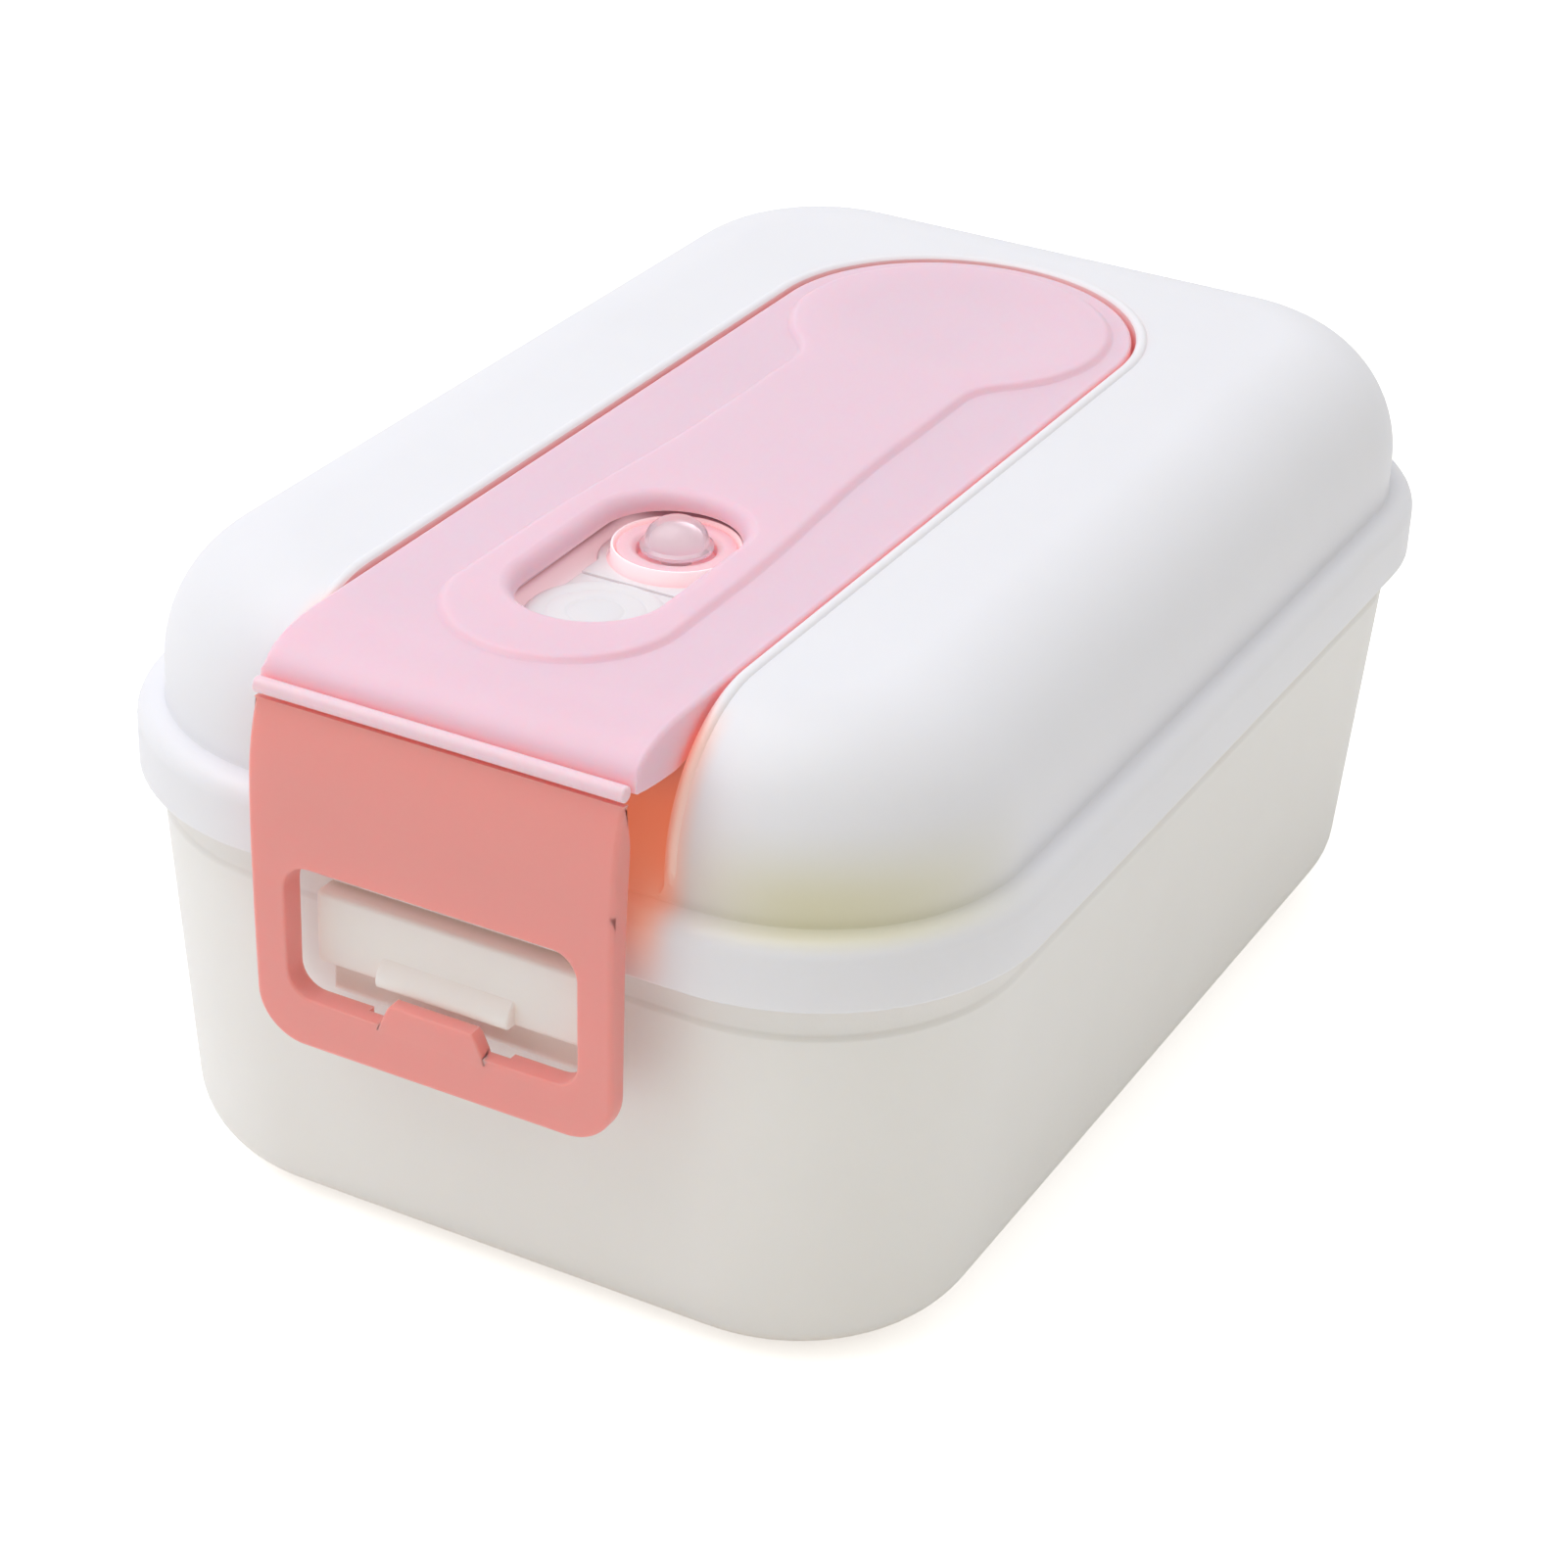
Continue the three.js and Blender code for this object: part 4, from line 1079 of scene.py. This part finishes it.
class LUNCHBOX_OT_press_valve(bpy.types.Operator):
    """Models the press valve: ring, clear button, stem and washer"""

    bl_idname = "lunchbox.press_valve"
    bl_label = "Press valve"

    def execute(self, context):
        colours = context.scene.lunch_colours
        outer, low, high = RING_HIGH.x, RING_LOW.z, RING_HIGH.z
        inner = BUTTON_HIGH.x + 0.4
        ring = turned("ring", 0, VALVE_Y, [
            (outer, low), (outer, high - 1.5), (outer + 0.5, high - 1.0),
            (outer + 0.5, high - 0.45), (outer + 0.3, high - 0.12), (outer - 0.1, high),
            (outer - 1.4, high), (inner + 0.7, high - 0.2), (inner + 0.2, high - 0.5),
            (inner, high - 0.9), (inner, low + 0.6), (2.6, low + 0.6)], 72)
        cut(ring, turned("way", 0, VALVE_Y, [(2.6, low - 1), (2.6, high + 1)], 40))
        # painted shade and glow: creases of the ring and washer turn deep pink and give off light
        pink = moulding("valve_silicone", colours.soft_pink, 0.45, soft=0.9, grain=0.03,
                        depth=0.003, shade=colours.shade, crease=0.45, reach=0.002, glow=0.3,
                        spread=PINK_SPREAD)
        finish_piece(ring, "cup_ring", "lid", ["valve_ring"], pink)

        radius, base, crown = BUTTON_HIGH.x, BUTTON_LOW.z, BUTTON_HIGH.z
        spring = base + 1.0
        dome = [(radius - 0.2, base), (radius, base + 0.2), (radius, spring - 0.3)]
        dome += [(0.88 * radius * math.cos(a) ** 0.9, spring + (crown - spring) * math.sin(a))
                 for a in (math.radians(5 * i) for i in range(18))]
        button = turned("button", 0, VALVE_Y, dome, 64)
        finish_piece(button, "press_cap", "valve", ["valve_button"], clear_plastic(colours.clear))

        radius, low, high = STEM_HIGH.x, STEM_LOW.z, STEM_HIGH.z
        stem = turned("stem", 0, VALVE_Y, [
            (radius - 0.6, low), (radius, low + 0.6), (radius, high - 0.3), (radius - 0.3, high)], 40)
        finish_piece(stem, "press_stem", "valve", ["valve_stem"], moulding(
            "stem_plastic", colours.soft_white, 0.4))

        radius, low, high = WASHER_HIGH.x, WASHER_LOW.z, WASHER_HIGH.z
        washer = turned("washer", 0, VALVE_Y, [
            (radius - 0.3, low), (radius, low + 0.3), (radius, high - 0.3), (radius - 0.3, high)], 48)
        cut(washer, turned("way", 0, VALVE_Y, [(2.3, low - 1), (2.3, high + 1)], 40))
        finish_piece(washer, "press_washer", "valve", ["valve_washer"], pink)
        return {"FINISHED"}


class LUNCHBOX_OT_steam_plug(bpy.types.Operator):
    """Models the steam plug with its rings and strip, and the collar that holds it"""

    bl_idname = "lunchbox.steam_plug"
    bl_label = "Steam plug"

    def execute(self, context):
        silicone = moulding("plug_silicone", context.scene.lunch_colours.soft_white, 0.4,
                            soft=0.5, depth=0.003, grain=0.03)
        radius = PLUG_HIGH.x
        y = PLUG_LOW.y + radius
        low, high = PLUG_LOW.z, PLUG_HIGH.z
        seat = low + 3.0
        head = turned("plug", 0, y, [
            (2.4, low), (2.95, low + 2.4), (3.0, seat), (radius - 0.4, seat),
            (radius, seat + 0.4), (radius, high - 0.8), (radius - 0.35, high - 0.45),
            (radius - 1.0, high - 0.32), (7.6, high - 0.3), (7.3, high - 0.45), (6.9, high - 0.45),
            (6.6, high - 0.25), (4.4, high - 0.12), (4.1, high - 0.28), (3.7, high - 0.28),
            (3.4, high - 0.08), (1.5, high), (0.2, high)], 72)
        rear = PLUG_HIGH.y
        web = 9.0
        strip = upright("tether", [
            (-web, y + radius / 2), (web, y + radius / 2), (web, rear), (-web, rear)],
            seat, seat + 0.8)
        round_edges(strip, 0.2, 3, lambda p: True)
        add(head, strip)
        finish_piece(head, "plug", "plug", ["steam_plug"], silicone)

        inner, outer = 9.95, TETHER_HIGH.x
        low, high, front = TETHER_LOW.z, TETHER_HIGH.z, rear + 0.35
        collar = turned("collar", 0, VALVE_Y, [
            (outer, low), (outer, high - 0.3), (outer - 0.3, high), (inner, high)], 72)
        add(collar, upright("web", [
            (-web, front), (web, front), (web, VALVE_Y), (-web, VALVE_Y)], low, high))
        cut(collar, turned("way", 0, VALVE_Y, [(inner, low - 1), (inner, high + 1)], 72),
            upright("front", [(-20, front - 9), (20, front - 9), (20, front), (-20, front)],
                    low - 1, high + 1))
        finish_piece(collar, "plug_collar", "lid", ["tether_anchor"], silicone)
        return {"FINISHED"}


def handle_outline():
    """Outline of a cutlery handle, which widens into its head."""
    x, head_x = 18.2, 13.3
    end = SPOON_LOW.y + 4.2
    right = arc(x, end, 4.2, 180, 360, 16)
    neck = [(x + 3, 4), (x + 2.7, 9), (x + 1.6, 15), (head_x + 3.8, 21)]
    back = [(head_x - 1.2, 21), (x - 3.0, 15), (x - 2.9, 9), (x - 3, 4)]
    return right + neck + back


def cutlery_blank(name, head_height):
    low = SPOON_LOW.z
    blank = upright(name, handle_outline(), low, low + 1.4)
    round_edges(blank, 0.35, 3, lambda p: True, angle=60)
    oval = [(13.3 + 11.6 * math.cos(a), 37.5 + 19.5 * math.sin(a))
            for a in (math.radians(5 * i) for i in range(72))]
    return blank, upright(name + "_head", oval, low, low + head_height)


class LUNCHBOX_OT_cutlery(bpy.types.Operator):
    """Models the spoon and fork that lie in the well"""

    bl_idname = "lunchbox.cutlery"
    bl_label = "Cutlery"

    def execute(self, context):
        plastic = moulding("cutlery_plastic", context.scene.lunch_colours.strap, 0.25, soft=0.2,
                           coat=0.3)
        low = SPOON_LOW.z
        spoon, bowl = cutlery_blank("spoon_blank", 2.4)
        round_edges(bowl, 0.9, 5, lambda p: p.z < low + 0.1)
        add(spoon, bowl)
        deselect()
        bpy.ops.mesh.primitive_uv_sphere_add(
            segments=64, ring_count=32, radius=1, location=(13.3, 37.5, low + 2.55),
            scale=(10.7, 18.5, 1.8))
        dent = bpy.context.object
        bpy.ops.object.transform_apply(location=True, rotation=True, scale=True)
        cut(spoon, dent)
        finish_piece(spoon, "table_spoon", "lid", ["spoon"], plastic)

        fork, head = cutlery_blank("fork_blank", 1.4)
        add(fork, head)
        for x in (8.1, 13.3, 18.5):
            cut(fork, upright("slot", [(x - 1.1, 70), *arc(x, 33.5, 1.1, 180, 360, 10), (x + 1.1, 70)],
                              90, 100))
        round_edges(fork, 0.3, 3, lambda p: p.y > 22, angle=60)
        with editing(fork):
            bpy.ops.mesh.select_all(action="SELECT")
            bpy.ops.transform.resize(value=(-1, 1, 1), center_override=(0, 0, 0))
        finish_piece(fork, "table_fork", "lid", ["fork"], plastic)
        return {"FINISHED"}


# ---- stage --------------------------------------------------------------------------------

class LUNCHBOX_OT_stage(bpy.types.Operator):
    """Sets the camera, the soft lights and the pale floor"""

    bl_idname = "lunchbox.stage"
    bl_label = "Stage"

    def execute(self, context):
        scene = context.scene
        scene.view_settings.view_transform = "Standard"
        scene.camera = main_camera()
        soft_box("key_above", (-0.4, -0.3, 1.25), (0, 0, 0.05), 1.4, 8.9, (0.98, 0.985, 1.0))
        scene.world = studio_world()
        deselect()
        bpy.ops.mesh.primitive_plane_add(size=30, location=(0, 0, 0))
        floor = context.object
        floor.name = "floor"
        floor.data.materials.append(floor_material())
        return {"FINISHED"}


def studio_world():
    """Even pale surroundings that are dimmer and warmer towards the front right."""
    world = bpy.data.worlds.new("studio")
    world.use_nodes = True
    tree = world.node_tree
    along = tree.nodes.new("ShaderNodeVectorMath")
    along.operation = "DOT_PRODUCT"
    along.inputs[1].default_value = (0.6, -0.79, -0.12)
    tree.links.new(tree.nodes.new("ShaderNodeTexCoord").outputs["Generated"], along.inputs[0])
    factor = ramped(tree, along.outputs["Value"], -0.1, 0.95, soft=True)
    light = mixed(tree, factor, (0.76, 0.76, 0.755, 1), (0.41, 0.385, 0.28, 1))
    tree.links.new(light, tree.nodes["Background"].inputs["Color"])
    return world


def main_camera():
    turn, tilt, roll = math.radians(26.98), math.radians(29.39), math.radians(2.51)
    back = (math.sin(turn) * math.cos(tilt), -math.cos(turn) * math.cos(tilt), math.sin(tilt))
    side = (math.cos(turn), math.sin(turn), 0.0)
    over = (back[1] * side[2] - back[2] * side[1], back[2] * side[0] - back[0] * side[2],
            back[0] * side[1] - back[1] * side[0])
    right = [math.cos(roll) * s + math.sin(roll) * o for s, o in zip(side, over)]
    up = [math.cos(roll) * o - math.sin(roll) * s for s, o in zip(side, over)]
    distance, aim = 0.60176, 0.03277
    place = [b * distance for b in back]
    place[2] += aim
    data = bpy.data.cameras.new("camera")
    data.sensor_width = 36
    data.lens = 87.12
    data.shift_x = -0.01518
    data.shift_y = 0.01241
    data.clip_start = 0.01
    camera = bpy.data.objects.new("camera", data)
    bpy.context.scene.collection.objects.link(camera)
    rows = [(right[i], up[i], back[i], place[i]) for i in range(3)]
    camera.matrix_world = Matrix((*rows, (0, 0, 0, 1)))
    return camera


def soft_box(name, place, target, size, power, colour):
    deselect()
    bpy.ops.object.light_add(type="AREA", location=place)
    lamp = bpy.context.object
    lamp.name = name
    lamp.data.shape = "DISK"
    lamp.data.size = size
    lamp.data.energy = power
    lamp.data.color = colour
    aim = Matrix.Translation(target).translation - Matrix.Translation(place).translation
    lamp.rotation_euler = aim.to_track_quat("-Z", "Y").to_euler()
    return lamp


def floor_material():
    material, tree, shader = new_material("pale_floor")
    tone = ramped(tree, noisy(tree, object_place(tree), 3.0), 0.0, 1.0, 0.96, 0.98)
    tree.links.new(tone, shader.inputs["Base Color"])
    shader.inputs["Roughness"].default_value = 0.9
    sight = tree.nodes.new("ShaderNodeLightPath").outputs["Is Camera Ray"]
    lift = maths(tree, "MULTIPLY", sight, 0.5)  # keeps the floor plain white to the eye
    tree.links.new(lift, shader.inputs["Emission Strength"])
    shader.inputs["Emission Color"].default_value = (1, 1, 1, 1)
    return material


# ---- panel and registration ---------------------------------------------------------------

MAKERS = (
    LUNCHBOX_OT_stage,
    LUNCHBOX_OT_tub,
    LUNCHBOX_OT_tray,
    LUNCHBOX_OT_hinge_pin,
    LUNCHBOX_OT_lid,
    LUNCHBOX_OT_seal,
    LUNCHBOX_OT_strap_cover,
    LUNCHBOX_OT_hinge_strip,
    LUNCHBOX_OT_latch_flap,
    LUNCHBOX_OT_press_valve,
    LUNCHBOX_OT_steam_plug,
    LUNCHBOX_OT_cutlery,
)


class LUNCHBOX_PT_panel(bpy.types.Panel):
    """Lists the pieces of the lunch box and their sizes and colours"""

    bl_idname = "LUNCHBOX_PT_panel"
    bl_label = "Lunch Box"
    bl_space_type = "VIEW_3D"
    bl_region_type = "UI"
    bl_category = "Lunch Box"

    def draw(self, context):
        layout = self.layout
        for maker in MAKERS:
            layout.operator(maker.bl_idname)
        for group in (context.scene.lunch_shape, context.scene.lunch_colours):
            column = layout.column()
            for name in group.__annotations__:
                column.prop(group, name)


CLASSES = (LunchBoxShape, LunchBoxColours, *MAKERS, LUNCHBOX_PT_panel)


def register():
    for cls in CLASSES:
        bpy.utils.register_class(cls)
    bpy.types.Scene.lunch_shape = PointerProperty(type=LunchBoxShape)
    bpy.types.Scene.lunch_colours = PointerProperty(type=LunchBoxColours)


def unregister():
    del bpy.types.Scene.lunch_colours
    del bpy.types.Scene.lunch_shape
    for cls in reversed(CLASSES):
        bpy.utils.unregister_class(cls)


def main():
    register()
    for maker in MAKERS:
        group, action = maker.bl_idname.split(".")
        result = getattr(getattr(bpy.ops, group), action)()
        if result != {"FINISHED"}:
            raise RuntimeError(f"{maker.bl_idname} did not finish")
    deselect()


if __name__ == "__main__":
    main()
